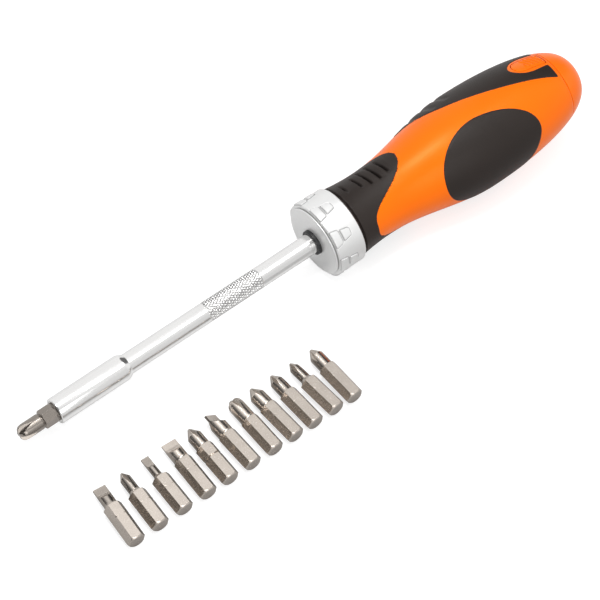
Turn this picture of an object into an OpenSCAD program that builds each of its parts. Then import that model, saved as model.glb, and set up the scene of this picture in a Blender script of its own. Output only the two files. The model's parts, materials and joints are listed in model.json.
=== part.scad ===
// Ratcheting screwdriver with a bit store in its handle, and its loose bits.
// The driver lies on a flat surface, on the front rim of its selector ring and on the
// belly of its handle, so its axis rises toward the butt. The other bits lie in a row
// on the same surface in front of it.
// The origin is the centre of the bit holder's mouth, on the driver's axis.
// X runs from the tip toward the butt, Z is up and -Y is the near side.
// Sizes are in millimetres. Stations along the driver are measured from the mouth, and
// along the handle from the handle's front. Angles round the driver start at the top
// and grow toward the near side.

/* [Shaft and bit holder] */
// Wall of the bit holder outside the corners of its socket
holder_wall = 1.33; // [1:0.01:2]
// Length of the bit holder
holder_l = 31.2; // [28:0.2:36]
// Length of the bevel at the rear of the bit holder
holder_bevel = 1.8; // [1:0.1:2.4]
// Radius of the drive shaft
shaft_r = 3.95; // [3.6:0.05:4.2]
// From the mouth of the holder to the face of the nose plate
nose_z = 115.7; // [110:0.1:130]
// From the mouth of the holder to the knurled band
knurl_z = 66.4; // [50:0.2:80]
// Length of the knurled band
knurl_l = 23.4; // [16:0.2:28]
// Wall of the front bush round the shaft, at its flange
bush_wall = 1; // [0.8:0.05:1.4]
// Height of the front bush in front of the nose plate
bush_l = 1.4; // [1:0.1:2]

/* [Selector ring] */
// Wall of the selector ring
ring_wall = 2.25; // [1.8:0.05:3]
// Length of the selector ring
ring_l = 11.7; // [11.3:0.1:13]
// Step from the selector ring in to the edge of the nose plate
nose_in = 1.3; // [0.4:0.05:1.6]
// Height of the finger pads on the ring
ring_pad_h = 0.35; // [0.2:0.05:0.6]
// Pairs of finger pads round the ring
ring_pads = 8; // [6:2:10]
// Turn of the ring to either side
ring_turn = 25; // [18:1:26]

/* [Ratchet] */
// Teeth of the ratchet wheel
teeth = 24; // [20:4:28]
// Wall of the ratchet wheel between the shaft and the roots of the teeth
wheel_wall = 1.75; // [1.5:0.05:2]
// Depth of the teeth
tooth_h = 0.9; // [0.7:0.05:1]
// Distance of the pawl pins from the ratchet wheel
pawl_off = 2.7; // [2.5:0.05:2.9]
// Radius of the pawl pins
pawl_pin_r = 0.9; // [0.7:0.05:1]
// Lift of a pawl
pawl_lift = 10; // [6:1:10]
// Length of the spigot that carries the handle
spigot_l = 21.3; // [18:0.1:24]
// Shoulder of the housing round that spigot
spigot_in = 2.8; // [2.4:0.1:3.2]

/* [Handle] */
// Length of the end cap
cap_l = 10.4; // [9:0.2:13]
// Plastic between the ratchet and the bit store
bulkhead = 9.9; // [7:0.1:14]
// Plastic round the spigot, under the rubber of the neck
neck_wall = 1.54; // [1.4:0.02:2.4]
// Height of the flare that widens the neck toward the ring
flare_h = 1.1; // [0.5:0.05:1.5]
// Length of that flare
flare_l = 14; // [10:0.5:18]
// Wall of the belly round the bit store
belly_wall = 6.05; // [5.6:0.05:7.5]
// From the front of the handle to the belly
belly_at = 60; // [54:0.5:62]
// Length of the level part of the belly
belly_flat = 1; // [0.5:0.5:3]
// Depth of the rubber in the handle
rubber_t = 1.8; // [1.4:0.1:2]
// Height of the rubber above the plastic
rubber_proud = 0.2; // [0.1:0.05:0.4]

/* [Bit store] */
// Wall of the bit carrier beside its outer pockets
store_wall = 2.2; // [1.8:0.1:3]
// Travel of the bit carrier out of the handle
store_travel = 56; // [40:1:58]
// Width of the release button
button_w = 8; // [7:0.1:9]
// Length of the release button
button_l = 13.6; // [12:0.1:14]
// Travel of the release button
button_press = 0.8; // [0.4:0.1:0.9]

/* [Bits] */
// Width over the flats of the hexagon
bit_af = 6.35; // [6.3:0.01:6.4]
// Length of a bit
bit_l = 25; // [24:0.1:26]
// Mean gap between the loose bits, corner to corner
bit_gap = 2.3; // [1.6:0.1:3]
// Distance of the row from the driver's axis
row_y = 44.2; // [38:0.1:60]
// First bit of the row from the mouth of the holder
row_x = -5.2; // [-20:0.1:20]
// Turn of the row away from the driver's direction
row_turn = 0.7; // [-5:0.1:5]

/* [Hidden] */
$fn = 72;

// Clearances: a seat between still pieces, a running fit, a gap between moving faces,
// the joint line round the rubber, and one overrun for every cut.
seat = 0.02;
run_fit = 0.05;
gap = 0.3;
skin_gap = 0.05;
over = 1;

// From the shaft outward: wheel, pawl pins, housing, ring and nose plate.
wheel_r = shaft_r + wheel_wall + tooth_h;
pawl_at = wheel_r + pawl_off;
pawl_boss = 1.7;
drum_skin = 1.4;
drum_r = pawl_at + pawl_boss + drum_skin;
spigot_r = drum_r - spigot_in;
ring_bore = drum_r + gap;
ring_r = ring_bore + ring_wall;
nose_r = ring_r - nose_in;

// Ring, housing and front of the handle along the axis.
nose_rim = 0.5;
nose_step = 1.6;
nose_edge = 0.25;
ring_edge = 0.4;
core_s = 0.5;
ring_z = nose_z + nose_rim + gap;
handle_z = ring_z + ring_l;
drum_z = nose_z + nose_rim + nose_step;
drum_end = handle_z + core_s;
spigot_end = drum_end + spigot_l;

// Finger pads of the ring: a wide one at the front and a narrow one behind each.
ring_pad_inset = 0.1;
ring_pad_split = 0.6;
ring_pad_front_l = 3.4;
ring_pad_rear_l = 3.7;
ring_pad_turn = -4;
ring_pad_front_w = [25, 20];
ring_pad_rear_w = [16.5, 11];
ring_pad_corner_share = 0.1;

// Room for the ratchet wheel inside the housing.
wheel_gap = 0.2;
washer_t = 0.8;
drum_wall = 2.1;
wheel_z = drum_z + gap;
room_end = drum_end - drum_wall;
washer_z = room_end - wheel_gap - washer_t;
wheel_end = washer_z - wheel_gap;
room_r = wheel_r + gap;

// Pawls. The nose stands in the gap between two teeth, and the pin of its pawl lies
// nose_lead degrees nearer the middle plane. The tail reaches a pocket in the ring.
pitch = 360 / teeth;
nose_aim = 65;
nose_lead = 28;
nose_angle = (floor(nose_aim / pitch) + 1 / 2) * pitch;
pawl_angle = nose_angle - nose_lead;
tip_share = 0.12;
root_share = 0.08;
pawl_corner_share = 0.7;
nose_reach = 0.3;
nose_w = 0.2;
nose_root_w = 1;
nose_h = 1;
nose_back = 2.6;
tail_w = 1.6;
tail_reach = 0.5;
tail_r = ring_bore + tail_reach;
room_swell = 1.25;
room_edge = pawl_at + room_swell;
room_spread = 12;
cam_depth = 1.05;
cam_r = ring_bore + cam_depth;
cam_play = 0.8;
pin_hole_l = 1.4;
tail_half = asin(tail_w / 2 / ring_bore);
tail_swing = asin((tail_r - pawl_at) * sin(pawl_lift) / ring_bore);

// Springs, and the detent that holds the ring in its three places.
wire_r = 0.15;
coil_r = 0.85;
coil_turns = 3;
detent_turns = 2;
spring_play = 0.15;
spring_skin = 0.8;
spring_well = drum_r - spring_skin;
ball_r = 1.2;
ball_angle = 180;
ball_play = 0.05;
ball_seat_share = 0.85;
dimple_depth = 0.5;
detent_well = 3.8;
detent_hole = drum_r - detent_well;
detent_r = ring_bore - run_fit - ball_r;

// Bit holder and the rear end of the shaft.
corner_r = bit_af / 2 / cos(30);
socket_r = corner_r + run_fit;
holder_r = socket_r + holder_wall;
bit_in = 9.6;
magnet_r = 2.6;
magnet_t = 2.2;
magnet_z = bit_in + gap;
socket_end = magnet_z + magnet_t;
mouth_bevel = 0.45;
holder_waist = 0.9;
clip_w = 2.05;
clip_r = shaft_r + clip_w;
clip_t = 0.9;
clip_depth = 0.5;
clip_mouth = 70;
shaft_tail = 1.2;
shaft_bevel = 0.5;
clip_z = spigot_end + gap;
shaft_end = clip_z + clip_t + shaft_tail;
rear_bush_wall = 1.65;
rear_bush_r = shaft_r + rear_bush_wall;
rear_bush_l = 8;
bush_r = shaft_r + bush_wall;
bush_step = 0.35;
bush_body_r = bush_r - bush_step;
key_r = 0.7;
keys = 6;
line_depth = 0.12;
line_w = 0.5;

// Bit store along and across the axis: pockets in rows, a plug behind them, the bore
// round them, and the seam where the end cap starts.
pocket_w = 6.7;
pocket_wall = 0.6;
pocket_play = 0.8;
pocket_l = bit_l + pocket_play;
carrier_web = 1.4;
carrier_half = 6.1;
carrier_end = 1.5;
plug_l = 8.6;
rows = 2;
places = 3;
pocket_pitch = pocket_w + pocket_wall;
store_r = (places * pocket_pitch - pocket_wall) / 2 + store_wall;
store_bore = store_r + gap;
carrier_l = rows * pocket_l + (rows + 1) * carrier_end;
room_back = shaft_end + 2 * gap;
store_front = room_back + bulkhead;
carrier_z = store_front + gap;
plug_z = carrier_z + carrier_l;
seam_at = plug_z + plug_l - handle_z;
tenon_r = 6;
tenon_l = 4;
cap_gap = 0.3;
cap_s = seam_at + cap_gap;

// Outline of the handle at a station from its front: flare, neck, belly and tail.
handle_l = cap_s + cap_l;
neck_r = spigot_r + seat + neck_wall + rubber_t;
flare_r = neck_r + flare_h;
belly_r = store_bore + belly_wall;
tail_power_share = 0.322;
butt_round = 0.2;
tail_l = handle_l - belly_at - belly_flat + butt_round;
function handle_r(s) =
    s < flare_l ? neck_r + (flare_r - neck_r) * pow((flare_l - s) / flare_l, 2)
    : s < belly_at ? neck_r + (belly_r - neck_r) * (1 - cos(180 * (s - flare_l) / (belly_at - flare_l))) / 2
    : s < belly_at + belly_flat ? belly_r
    : belly_r * pow(1 - pow((s - belly_at - belly_flat) / tail_l, 2), tail_power_share);

// Stations of the turned faces: even ones along the body, closer ones round the butt.
rings = 36;
butt_rings = 8;
body_s = [for (k = [0 : rings]) seam_at * k / rings];
butt_s = [for (k = [1 : butt_rings]) seam_at + (handle_l - seam_at) * sin(90 * k / butt_rings)];
all_s = concat(body_s, butt_s);
function stations(a, b) = concat([a], [for (s = all_s) if (s > a && s < b) s], [b]);
function outline(a, b, add) = [for (s = stations(a, b)) [handle_r(s) + add, handle_z + s]];
function reversed(v) = [for (i = [len(v) - 1 : -1 : 0]) v[i]];

// Resting pose: the straight line that touches the ring's front pad and the lower pad.
contact_z = ring_z + ring_pad_inset;
contact_r = ring_r + ring_pad_h;
belly_slopes = [for (s = all_s) if (s > flare_l && s < seam_at)
    (handle_r(s) + rubber_proud - contact_r) / (handle_z + s - contact_z)];
tilt = atan(max(belly_slopes));
mouth_h = contact_r * cos(tilt) - contact_z * sin(tilt);
echo(tilt = tilt, mouth_height = mouth_h, length_over_all = handle_z + handle_l + bit_l - bit_in);

// Rubber in the handle. A pad's outline gives its points as a share of the way to the
// end cap's seam and an angle from the pad's own middle line.
corner_share = 0.25;
side_angle = 66;
side_shares = [[0.3763, -4], [0.3897, -23], [0.4342, -42], [0.511, -54], [0.5622, -53],
    [0.6212, -48], [0.6836, -45], [0.7337, -40], [0.7704, -32], [0.7938, -21], [0.8105, -10],
    [0.8083, 1], [0.7894, 17], [0.7749, 35], [0.7526, 46], [0.7025, 52], [0.6012, 54],
    [0.501, 51], [0.4286, 38], [0.3863, 18]];
under_angle = 190;
under_narrow_share = 0.92;
under_shares = [for (p = side_shares) [p[0], -under_narrow_share * p[1]]];
strip_angle = -35;
strip_shares = [[0.9675, -7.6], [0.9753, -14], [0.9775, -28], [0.9719, -30], [0.9419, -28],
    [0.8851, -27], [0.8127, -30], [0.7237, -38], [0.6235, -48], [0.5121, -55], [0.4231, -52],
    [0.373, -40], [0.3641, -25], [0.4053, -22], [0.4598, -12], [0.4977, 1], [0.5478, 12],
    [0.6513, 22], [0.7704, 34], [0.8695, 44], [0.9419, 53], [0.9719, 58], [0.9775, 56],
    [0.9753, 42], [0.9675, 35.6]];
strip_grooves = 3;
strip_groove_share = 0.4453;
strip_groove_pitch = 6.4;
strip_groove_r = 5;
strip_groove_depth = 0.6;
strip_groove_angle = -62;

// Rubber round the neck: two lobes reach back between two orange tongues.
lobe_angle = -21;
lobe_mid = 18.2;
lobe_swing = 10.3;
tongue_steps = 18;
neck_end = lobe_mid + lobe_swing;

// Crescent grips on each lobe: share of the lobe's length and depth of the cut.
crescent_shares = [[0.154, 0.32], [0.347, 0.55], [0.477, 0.8], [0.614, 0.85], [0.751, 0.55]];
crescent_depth = 1;
crescent_l = 2.3;
crescent_slant = 6;

// Release button: a key with a round front end in a window of the handle.
button_back = 1.1;
button_end = seam_at - button_back;
button_front = button_end - button_l;
button_t = 1.2;
button_proud = 0.1;
button_seam = 0.35;
button_corner = 1;
button_lug_w = 3;
button_lug_l = 5;
button_lug_back = 5.2;
button_lug_reach = 0.95;
button_lug_r = store_r - button_lug_reach;
button_ribs = 5;
button_rib_w = 0.7;
button_rib_pitch = 1.35;
button_rib_h = 0.3;
button_rib_slant = 28;
button_rib_end = 1;
button_arc = 12;
corner_arc = 4;
ledge_l = 4.6;
ledge_t = 1.15;
button_coil_r = 1.3;
button_turns = 1.5;

// Outlines of the pads in the plane that faces them. The strip ends in a fork, which
// keeps the same distance from the button's window all round.
function on_handle(shares) = [for (p = shares) let (s = seam_at * p[0])
    [handle_r(s) * sin(p[1]), handle_z + s]];
side_line = on_handle(side_shares);
under_line = on_handle(under_shares);
strip_fork = 2;
fork_steps = 8;
fork_r = button_w / 2 + button_seam + strip_fork;
strip_line = concat(on_handle(strip_shares), [for (i = [0 : fork_steps])
    let (a = 180 * i / fork_steps, s = button_front + button_w / 2 - fork_r * sin(a), r = handle_r(s))
        [r * sin(lobe_angle - strip_angle + asin(fork_r * cos(a) / r)), handle_z + s]]);

// Keyway of the bit carrier. The lug of the button runs in it and meets its front end
// when the carrier is out as far as it goes.
keyway_play = 0.8;
keyway_r = button_lug_r - button_press - keyway_play;
keyway_z = handle_z + button_end - button_lug_back - store_travel - gap;

// Bits. One row for each: place in the row, yaw of the bit, kind of tip, radius of the
// tip and length of the head as shares of the hexagon's half width and of the bit,
// depth of the notch as a share of the half width, and turn of the tip about its axis.
place_shares = [[0, -4.4], [0.105, -2.9], [0.213, -1.8], [0.322, -1.9], [0.42, -0.5],
    [0.5215, 1.2], [0.6254, 0.6], [0.7177, 2.8], [0.8122, 2.1], [0.9066, 4], [1, 1.5]];
tip_shares = [["slot", 0.79, 0.34, 0.03, 0], ["cross", 0.66, 0.38, 0.03, 45],
    ["slot", 0.5, 0.38, 0.03, 0], ["slot", 0.93, 0.34, 0.03, 0],
    ["cross", 0.88, 0.35, -0.1, 45], ["slot", 0.97, 0.38, 0.12, 40],
    ["round", 0.95, 0.38, 0.12, 45], ["cross", 0.93, 0.36, 0.03, 45],
    ["cross", 0.84, 0.36, 0.08, 20], ["cross", 0.65, 0.38, 0.05, 15],
    ["cross", 0.86, 0.36, 0.08, 0]];
inserted_shares = ["round", 0.95, 0.38, 0.03, 45];
row_l = (len(place_shares) - 1) * (2 * corner_r + bit_gap);
bit_bevel = 0.9;
bit_face_share = 0.86;
neck_slope = 1.1;
notch_w = 1;
notch_at_share = 0.34;
blade_l = 5;
blade_share = 0.15;
blade_flat_share = 0.5;
blade_neck_share = 0.8;
blade_rise_share = 0.3;
point_share = 0.2;
flute_share = 0.24;
flute_core_share = 0.22;
cone_share = 0.75;
point_angle = 26.5;
blunt_shares = [[1, 0.8], [0.92, 0.4], [0.75, 0.15], [0.5, 0]];
bit_floor = -mouth_h + bit_af / 2;

// The driver's own frame has its mouth at the origin, z toward the butt, x up and y near.
module laid() {
    rotate([0, 90 - tilt, 0])
        rotate([0, 0, 180])
            children();
}

// A turned piece from points of radius and station.
module turned(pts) {
    rotate_extrude()
        polygon(pts);
}

module tube(z0, z1, r, hole) {
    turned([[hole, z0], [r, z0], [r, z1], [hole, z1]]);
}

module rod(z0, z1, r) {
    translate([0, 0, z0])
        cylinder(h = z1 - z0, r = r);
}

// A straight prism that leaves the axis toward the angle a, from an outline across and along.
module radial(a, reach, pts) {
    rotate([0, 0, a])
        rotate([90, 0, 90])
            linear_extrude(height = reach)
                polygon(pts);
}

// A flat sector between two angles less than 180 degrees apart.
module sector(a0, a1, r, z0, z1) {
    far = 2 * r;
    mid = (a0 + a1) / 2;
    translate([0, 0, z0])
        linear_extrude(height = z1 - z0)
            polygon([[0, 0], far * [cos(a0), sin(a0)], far * [cos(mid), sin(mid)], far * [cos(a1), sin(a1)]]);
}

// A round hole or pin that runs outward along the angle a at station z.
module spoke(a, z, r0, r1, r) {
    translate([0, 0, z])
        rotate([0, 0, a])
            rotate([0, 90, 0])
                rod(r0, r1, r);
}

// One unbroken wire wound along z, from z0 to z1.
coil_rings = 8;
coil_sides = 6;
module coil(z0, z1, r, wire, turns) {
    echo(gap_between_turns = (z1 - z0 - 2 * wire) / turns - 2 * wire);
    n = turns * coil_rings;
    pts = [for (i = [0 : n]) let (a = 360 * i / coil_rings)
        for (j = [0 : coil_sides - 1]) let (b = 360 * j / coil_sides)
            [(r + wire * cos(b)) * cos(a), (r + wire * cos(b)) * sin(a),
                z0 + wire + (z1 - z0 - 2 * wire) * i / n + wire * sin(b)]];
    sides = [for (i = [0 : n - 1]) for (j = [0 : coil_sides - 1])
        let (p = i * coil_sides + j, q = i * coil_sides + (j + 1) % coil_sides)
            for (t = [0, 1]) t == 0 ? [p, p + coil_sides, q + coil_sides] : [p, q + coil_sides, q]];
    first = [for (j = [0 : coil_sides - 1]) j];
    last = [for (j = [coil_sides - 1 : -1 : 0]) n * coil_sides + j];
    polyhedron(points = pts, faces = concat([first], sides, [last]));
}

module spoke_coil(a, z, r0, r1, r, turns) {
    translate([0, 0, z])
        rotate([0, 0, a])
            rotate([0, 90, 0])
                coil(r0, r1, r, wire_r, turns);
}

// Each edge of an outline is kept from t to 1 - t, which cuts its corners.
function cut_corners(v, t) = [for (i = [0 : len(v) - 1]) let (p = v[i], q = v[(i + 1) % len(v)])
    for (u = [t, 1 - t]) p + (q - p) * u];

// Skin of the handle between two stations and two depths under its outline.
module skin(a, b, inner, outer) {
    turned(concat(outline(a, b, outer), reversed(outline(a, b, inner))));
}

// An outline moved in by the distance d all round.
function unit(v) = v / norm(v);
function sense(v) = sign([for (i = [0 : len(v) - 1]) cross(v[i], v[(i + 1) % len(v)])] * [for (p = v) 1]);
function inset(v, d) = let (n = len(v), w = sense(v)) [for (i = [0 : n - 1])
    let (a = unit(v[i] - v[(i + n - 1) % n]), b = unit(v[(i + 1) % n] - v[i]))
        let (m = [-a[1] - b[1], a[0] + b[0]])
            v[i] + 2 * d * w * m / (m * m)];

module pad_zone(a, line, play, inner, outer) {
    intersection() {
        skin(neck_end, seam_at, inner, outer);
        radial(a, belly_r + 2 * over, inset(cut_corners(line, corner_share), play));
    }
}

function tongue(shift) = concat(
    [for (i = [0 : tongue_steps]) let (a = 180 * i / tongue_steps - 90,
        s = lobe_mid - lobe_swing * cos(2 * a) - shift) [handle_r(s) * sin(a), handle_z + s]],
    [[belly_r, handle_z + neck_end - shift], [belly_r, handle_z + neck_end + over],
        [-belly_r, handle_z + neck_end + over], [-belly_r, handle_z + neck_end - shift]]);

module neck_zone(inner, outer, shift) {
    difference() {
        skin(core_s, neck_end - shift / 2, inner, outer);
        for (a = [90, 270])
            radial(lobe_angle + a, belly_r + over, tongue(shift));
    }
}

// An arc of radius r round the point at, from the angle a0 to the angle a1.
function arc(at, r, a0, a1, steps) = [for (i = [0 : steps])
    let (a = a0 + (a1 - a0) * i / steps) at + r * [cos(a), sin(a)]];

// Outline of the button, grown for its window.
function key_outline(grow) = let (w = button_w / 2 + grow, c = button_corner + grow,
    z0 = handle_z + button_front - grow, z1 = handle_z + button_end + grow)
    concat(arc([0, z0 + w], w, 180, 360, button_arc), arc([w - c, z1 - c], c, 0, 90, corner_arc),
        arc([c - w, z1 - c], c, 90, 180, corner_arc));

// Handle

module handle_core() {
    window_z = handle_z + button_front - over;
    ledge_z = handle_z + button_front - button_seam + ledge_l;
    color("orangered")
        laid()
            difference() {
                turned(concat([[spigot_r + seat, handle_z + core_s]], outline(core_s, seam_at, 0),
                    [[store_bore, handle_z + seam_at], [store_bore, store_front], [0, store_front],
                        [0, room_back], [spigot_r + seat, room_back]]));
                neck_zone(-rubber_t, over, 0);
                pad_zone(side_angle, side_line, 0, -rubber_t, over);
                pad_zone(under_angle, under_line, 0, -rubber_t, over);
                pad_zone(strip_angle, strip_line, 0, -rubber_t, over);
                for (i = [1 : keys])
                    rotate([0, 0, 360 * i / keys])
                        translate([spigot_r, 0, 0])
                            rod(handle_z, spigot_end + gap, key_r + seat);
                // the window of the button stops at a ledge that carries its spring
                difference() {
                    radial(lobe_angle, belly_r + over, key_outline(button_seam));
                    rod(window_z, ledge_z, store_bore + ledge_t);
                }
            }
}

// Cutter of one crescent: a steep step toward the ring, and a ramp that comes back up.
module crescent(share, depth_share) {
    s = share * neck_end;
    run = crescent_l * depth_share;
    out = crescent_depth + over;
    translate([handle_r(s) - crescent_depth * depth_share, 0, handle_z + s])
        rotate([crescent_slant, 0, 0])
            rotate([90, 0, 0])
                linear_extrude(height = 2 * (neck_r - crescent_depth), center = true)
                    polygon([[0, 0], [crescent_depth, run], [out, run], [out, 0]]);
}

module neck_grip() {
    color("dimgray")
        laid()
            difference() {
                neck_zone(skin_gap - rubber_t, 0, skin_gap);
                for (a = [0, 180])
                    rotate([0, 0, lobe_angle + a])
                        for (c = crescent_shares)
                            crescent(c[0], c[1]);
            }
}

module rubber_pad(a, line) {
    pad_zone(a, line, skin_gap, skin_gap - rubber_t, rubber_proud);
}

module side_pad() {
    color("dimgray")
        laid()
            rubber_pad(side_angle, side_line);
}

module under_pad() {
    color("dimgray")
        laid()
            rubber_pad(under_angle, under_line);
}

module top_strip() {
    groove_in = strip_groove_depth - rubber_proud - strip_groove_r;
    color("dimgray")
        laid()
            difference() {
                rubber_pad(strip_angle, strip_line);
                for (i = [0 : strip_grooves - 1])
                    let (s = strip_groove_share * seam_at + strip_groove_pitch * i)
                        rotate([0, 0, strip_groove_angle])
                            translate([handle_r(s) - groove_in, 0, handle_z + s])
                                rotate([90, 0, 0])
                                    cylinder(h = belly_r, r = strip_groove_r, center = true);
            }
}

// Ratchet

// A pawl stands with its pin at the origin. The second one is its mirror image.
module pawl() {
    out = [cos(nose_lead), sin(nose_lead)];
    side = [-sin(nose_lead), cos(nose_lead)];
    tip = (wheel_r - tooth_h + nose_reach) * out - [pawl_at, 0];
    neck = tip + nose_h * out;
    back = tip + nose_back * out + nose_root_w / 2 * side;
    turn = pawl_boss * pawl_corner_share;
    difference() {
        union() {
            rod(wheel_z, wheel_end, pawl_boss);
            translate([0, 0, wheel_z])
                linear_extrude(height = wheel_end - wheel_z)
                    polygon([tip - nose_w / 2 * side, neck - nose_root_w / 2 * side, [-turn, -turn / 2],
                        [turn, turn], back, neck + nose_root_w / 2 * side, tip + nose_w / 2 * side]);
            translate([0, -tail_w / 2, wheel_z])
                cube([tail_r - pawl_at - tail_w / 2, tail_w, wheel_end - wheel_z]);
            translate([tail_r - pawl_at - tail_w / 2, 0, 0])
                rod(wheel_z, wheel_end, tail_w / 2);
        }
        rod(wheel_z - over, wheel_end + over, pawl_pin_r + run_fit);
    }
}

module both_sides() {
    for (m = [0, 1])
        mirror([0, m, 0])
            children();
}

module pawl_place() {
    rotate([0, 0, pawl_angle])
        translate([pawl_at, 0, 0])
            children();
}

module pawl_forward() {
    color("slategray")
        laid()
            pawl_place()
                pawl();
}

module pawl_reverse() {
    color("slategray")
        laid()
            mirror([0, 1, 0])
                pawl_place()
                    pawl();
}

module pawl_pins() {
    color("silver")
        laid()
            both_sides()
                pawl_place()
                    rod(drum_z, room_end + pin_hole_l, pawl_pin_r);
}

mid_z = (wheel_z + wheel_end) / 2;

// Hollow for one pawl: round its boss, round its arm with its lift, and out to the ring.
module pawl_room() {
    tail_drop = tail_w / 2 + (tail_r - pawl_at) * sin(pawl_lift) + gap;
    pawl_place() {
        rod(drum_z - over, room_end, pawl_boss + gap);
        rod(room_end - over, room_end + pin_hole_l + seat, pawl_pin_r + seat);
        translate([0, -tail_drop, drum_z - over])
            cube([drum_r, tail_drop + tail_w / 2 + gap, room_end - drum_z + over]);
    }
    intersection() {
        rod(drum_z - over, room_end, room_edge);
        sector(pawl_angle, nose_angle + room_spread, room_edge, drum_z - over, room_end);
    }
    spoke(nose_angle, mid_z, room_r, spring_well, coil_r + wire_r + spring_play);
}

module ratchet_housing() {
    color("lightsteelblue")
        laid()
            difference() {
                union() {
                    rod(drum_z, drum_end, drum_r);
                    rod(drum_end - over, spigot_end, spigot_r);
                    for (i = [1 : keys])
                        rotate([0, 0, 360 * i / keys])
                            translate([spigot_r, 0, 0])
                                rod(drum_end - over, spigot_end, key_r);
                }
                rod(drum_z - over, room_end, room_r);
                rod(drum_z - over, spigot_end + over, shaft_r + run_fit);
                rod(spigot_end - rear_bush_l, spigot_end + over, rear_bush_r + seat);
                both_sides()
                    pawl_room();
                spoke(ball_angle, mid_z, detent_hole, drum_r + over, ball_r + ball_play);
            }
}

module nose_plate() {
    color("gainsboro")
        laid()
            turned([[bush_body_r + seat, nose_z], [nose_r - nose_edge, nose_z], [nose_r, nose_z + nose_edge],
                [nose_r, nose_z + nose_rim], [drum_r, nose_z + nose_rim], [drum_r, drum_z],
                [bush_body_r + seat, drum_z]]);
}

module front_bush() {
    color("black")
        laid()
            turned([[shaft_r + run_fit, nose_z - bush_l], [bush_r - nose_edge, nose_z - bush_l],
                [bush_r, nose_z - bush_l + nose_edge], [bush_r, nose_z], [bush_body_r, nose_z],
                [bush_body_r, drum_z], [shaft_r + run_fit, drum_z]]);
}

module rear_bush() {
    color("goldenrod")
        laid()
            tube(spigot_end - rear_bush_l, spigot_end, rear_bush_r, shaft_r + run_fit);
}

module thrust_washer() {
    color("silver")
        laid()
            tube(washer_z, washer_z + washer_t, wheel_r, shaft_r + run_fit);
}

module detent_ball() {
    color("silver")
        laid()
            rotate([0, 0, ball_angle])
                translate([detent_r, 0, mid_z])
                    sphere(r = ball_r);
}

module detent_spring() {
    top = detent_r - ball_r * ball_seat_share;
    color("silver")
        laid()
            spoke_coil(ball_angle, mid_z, detent_hole, top, coil_r, detent_turns);
}

module pawl_spring() {
    back = wheel_r - tooth_h + nose_reach + nose_back;
    spoke_coil(nose_angle, mid_z, back + run_fit, spring_well, coil_r, coil_turns);
}

module pawl_spring_forward() {
    color("silver")
        laid()
            pawl_spring();
}

module pawl_spring_reverse() {
    color("silver")
        laid()
            mirror([0, 1, 0])
                pawl_spring();
}

// One finger pad of the ring, wide toward the nose.
module ring_pad(z0, l, w) {
    w0 = ring_r * sin(w[0] / 2);
    w1 = ring_r * sin(w[1] / 2);
    pts = [[-w0, z0], [w0, z0], [w1, z0 + l], [-w1, z0 + l]];
    intersection() {
        tube(z0 - over, z0 + l + over, contact_r, ring_r - over);
        radial(0, contact_r + over, cut_corners(cut_corners(pts, ring_pad_corner_share), corner_share));
    }
}

module selector_ring() {
    cam_z0 = drum_z - gap;
    cam_z1 = room_end + gap;
    color("whitesmoke")
        laid() {
            difference() {
                turned([[ring_bore, ring_z], [ring_r - ring_edge, ring_z], [ring_r, ring_z + ring_edge],
                    [ring_r, handle_z - ring_edge], [ring_r - ring_edge, handle_z], [ring_bore, handle_z]]);
                // pockets for the tails of the pawls
                both_sides()
                    intersection() {
                        tube(cam_z0, cam_z1, cam_r, ring_bore - over);
                        sector(pawl_angle - tail_half - tail_swing - ring_turn - cam_play,
                            pawl_angle + tail_half + ring_turn + cam_play, cam_r, cam_z0, cam_z1);
                    }
                // three places for the ball
                for (a = [-ring_turn, 0, ring_turn])
                    rotate([0, 0, ball_angle + a])
                        translate([ring_bore + dimple_depth - ball_r - ball_play, 0, mid_z])
                            sphere(r = ball_r + ball_play);
            }
            for (i = [0 : ring_pads - 1])
                rotate([0, 0, ring_pad_turn + 360 * i / ring_pads]) {
                    ring_pad(contact_z, ring_pad_front_l, ring_pad_front_w);
                    ring_pad(contact_z + ring_pad_front_l + ring_pad_split, ring_pad_rear_l, ring_pad_rear_w);
                }
        }
}

// Drive

module drive_shaft() {
    groove_r = shaft_r - line_depth;
    color("silver")
        laid()
            difference() {
                turned([[0, socket_end + seat], [shaft_r - shaft_bevel, socket_end + seat],
                    [shaft_r, socket_end + seat + shaft_bevel], [shaft_r, shaft_end - shaft_bevel],
                    [shaft_r - shaft_bevel, shaft_end], [0, shaft_end]]);
                for (z = [knurl_z, knurl_z + knurl_l])
                    tube(z - line_w / 2, z + line_w / 2, shaft_r + over, groove_r);
                tube(clip_z - seat, clip_z + clip_t + seat, shaft_r + over, shaft_r - clip_depth);
            }
}

module ratchet_wheel() {
    root_r = wheel_r - tooth_h;
    corners = [[wheel_r, -tip_share], [wheel_r, tip_share], [root_r, 1 / 2 - root_share],
        [root_r, 1 / 2 + root_share]];
    pts = [for (i = [0 : teeth - 1]) for (c = corners)
        c[0] * [cos(pitch * (i + c[1])), sin(pitch * (i + c[1]))]];
    color("slategray")
        laid()
            difference() {
                translate([0, 0, wheel_z])
                    linear_extrude(height = wheel_end - wheel_z)
                        polygon(pts);
                rod(wheel_z - over, wheel_end + over, shaft_r + seat);
            }
}

module retaining_ring() {
    color("silver")
        laid()
            difference() {
                tube(clip_z, clip_z + clip_t, clip_r, shaft_r - clip_depth + seat);
                sector(-clip_mouth / 2, clip_mouth / 2, clip_r, clip_z - over, clip_z + clip_t + over);
            }
}

module hexagon(z0, z1, r) {
    translate([0, 0, z0])
        cylinder(h = z1 - z0, r = r, $fn = 6);
}

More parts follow.
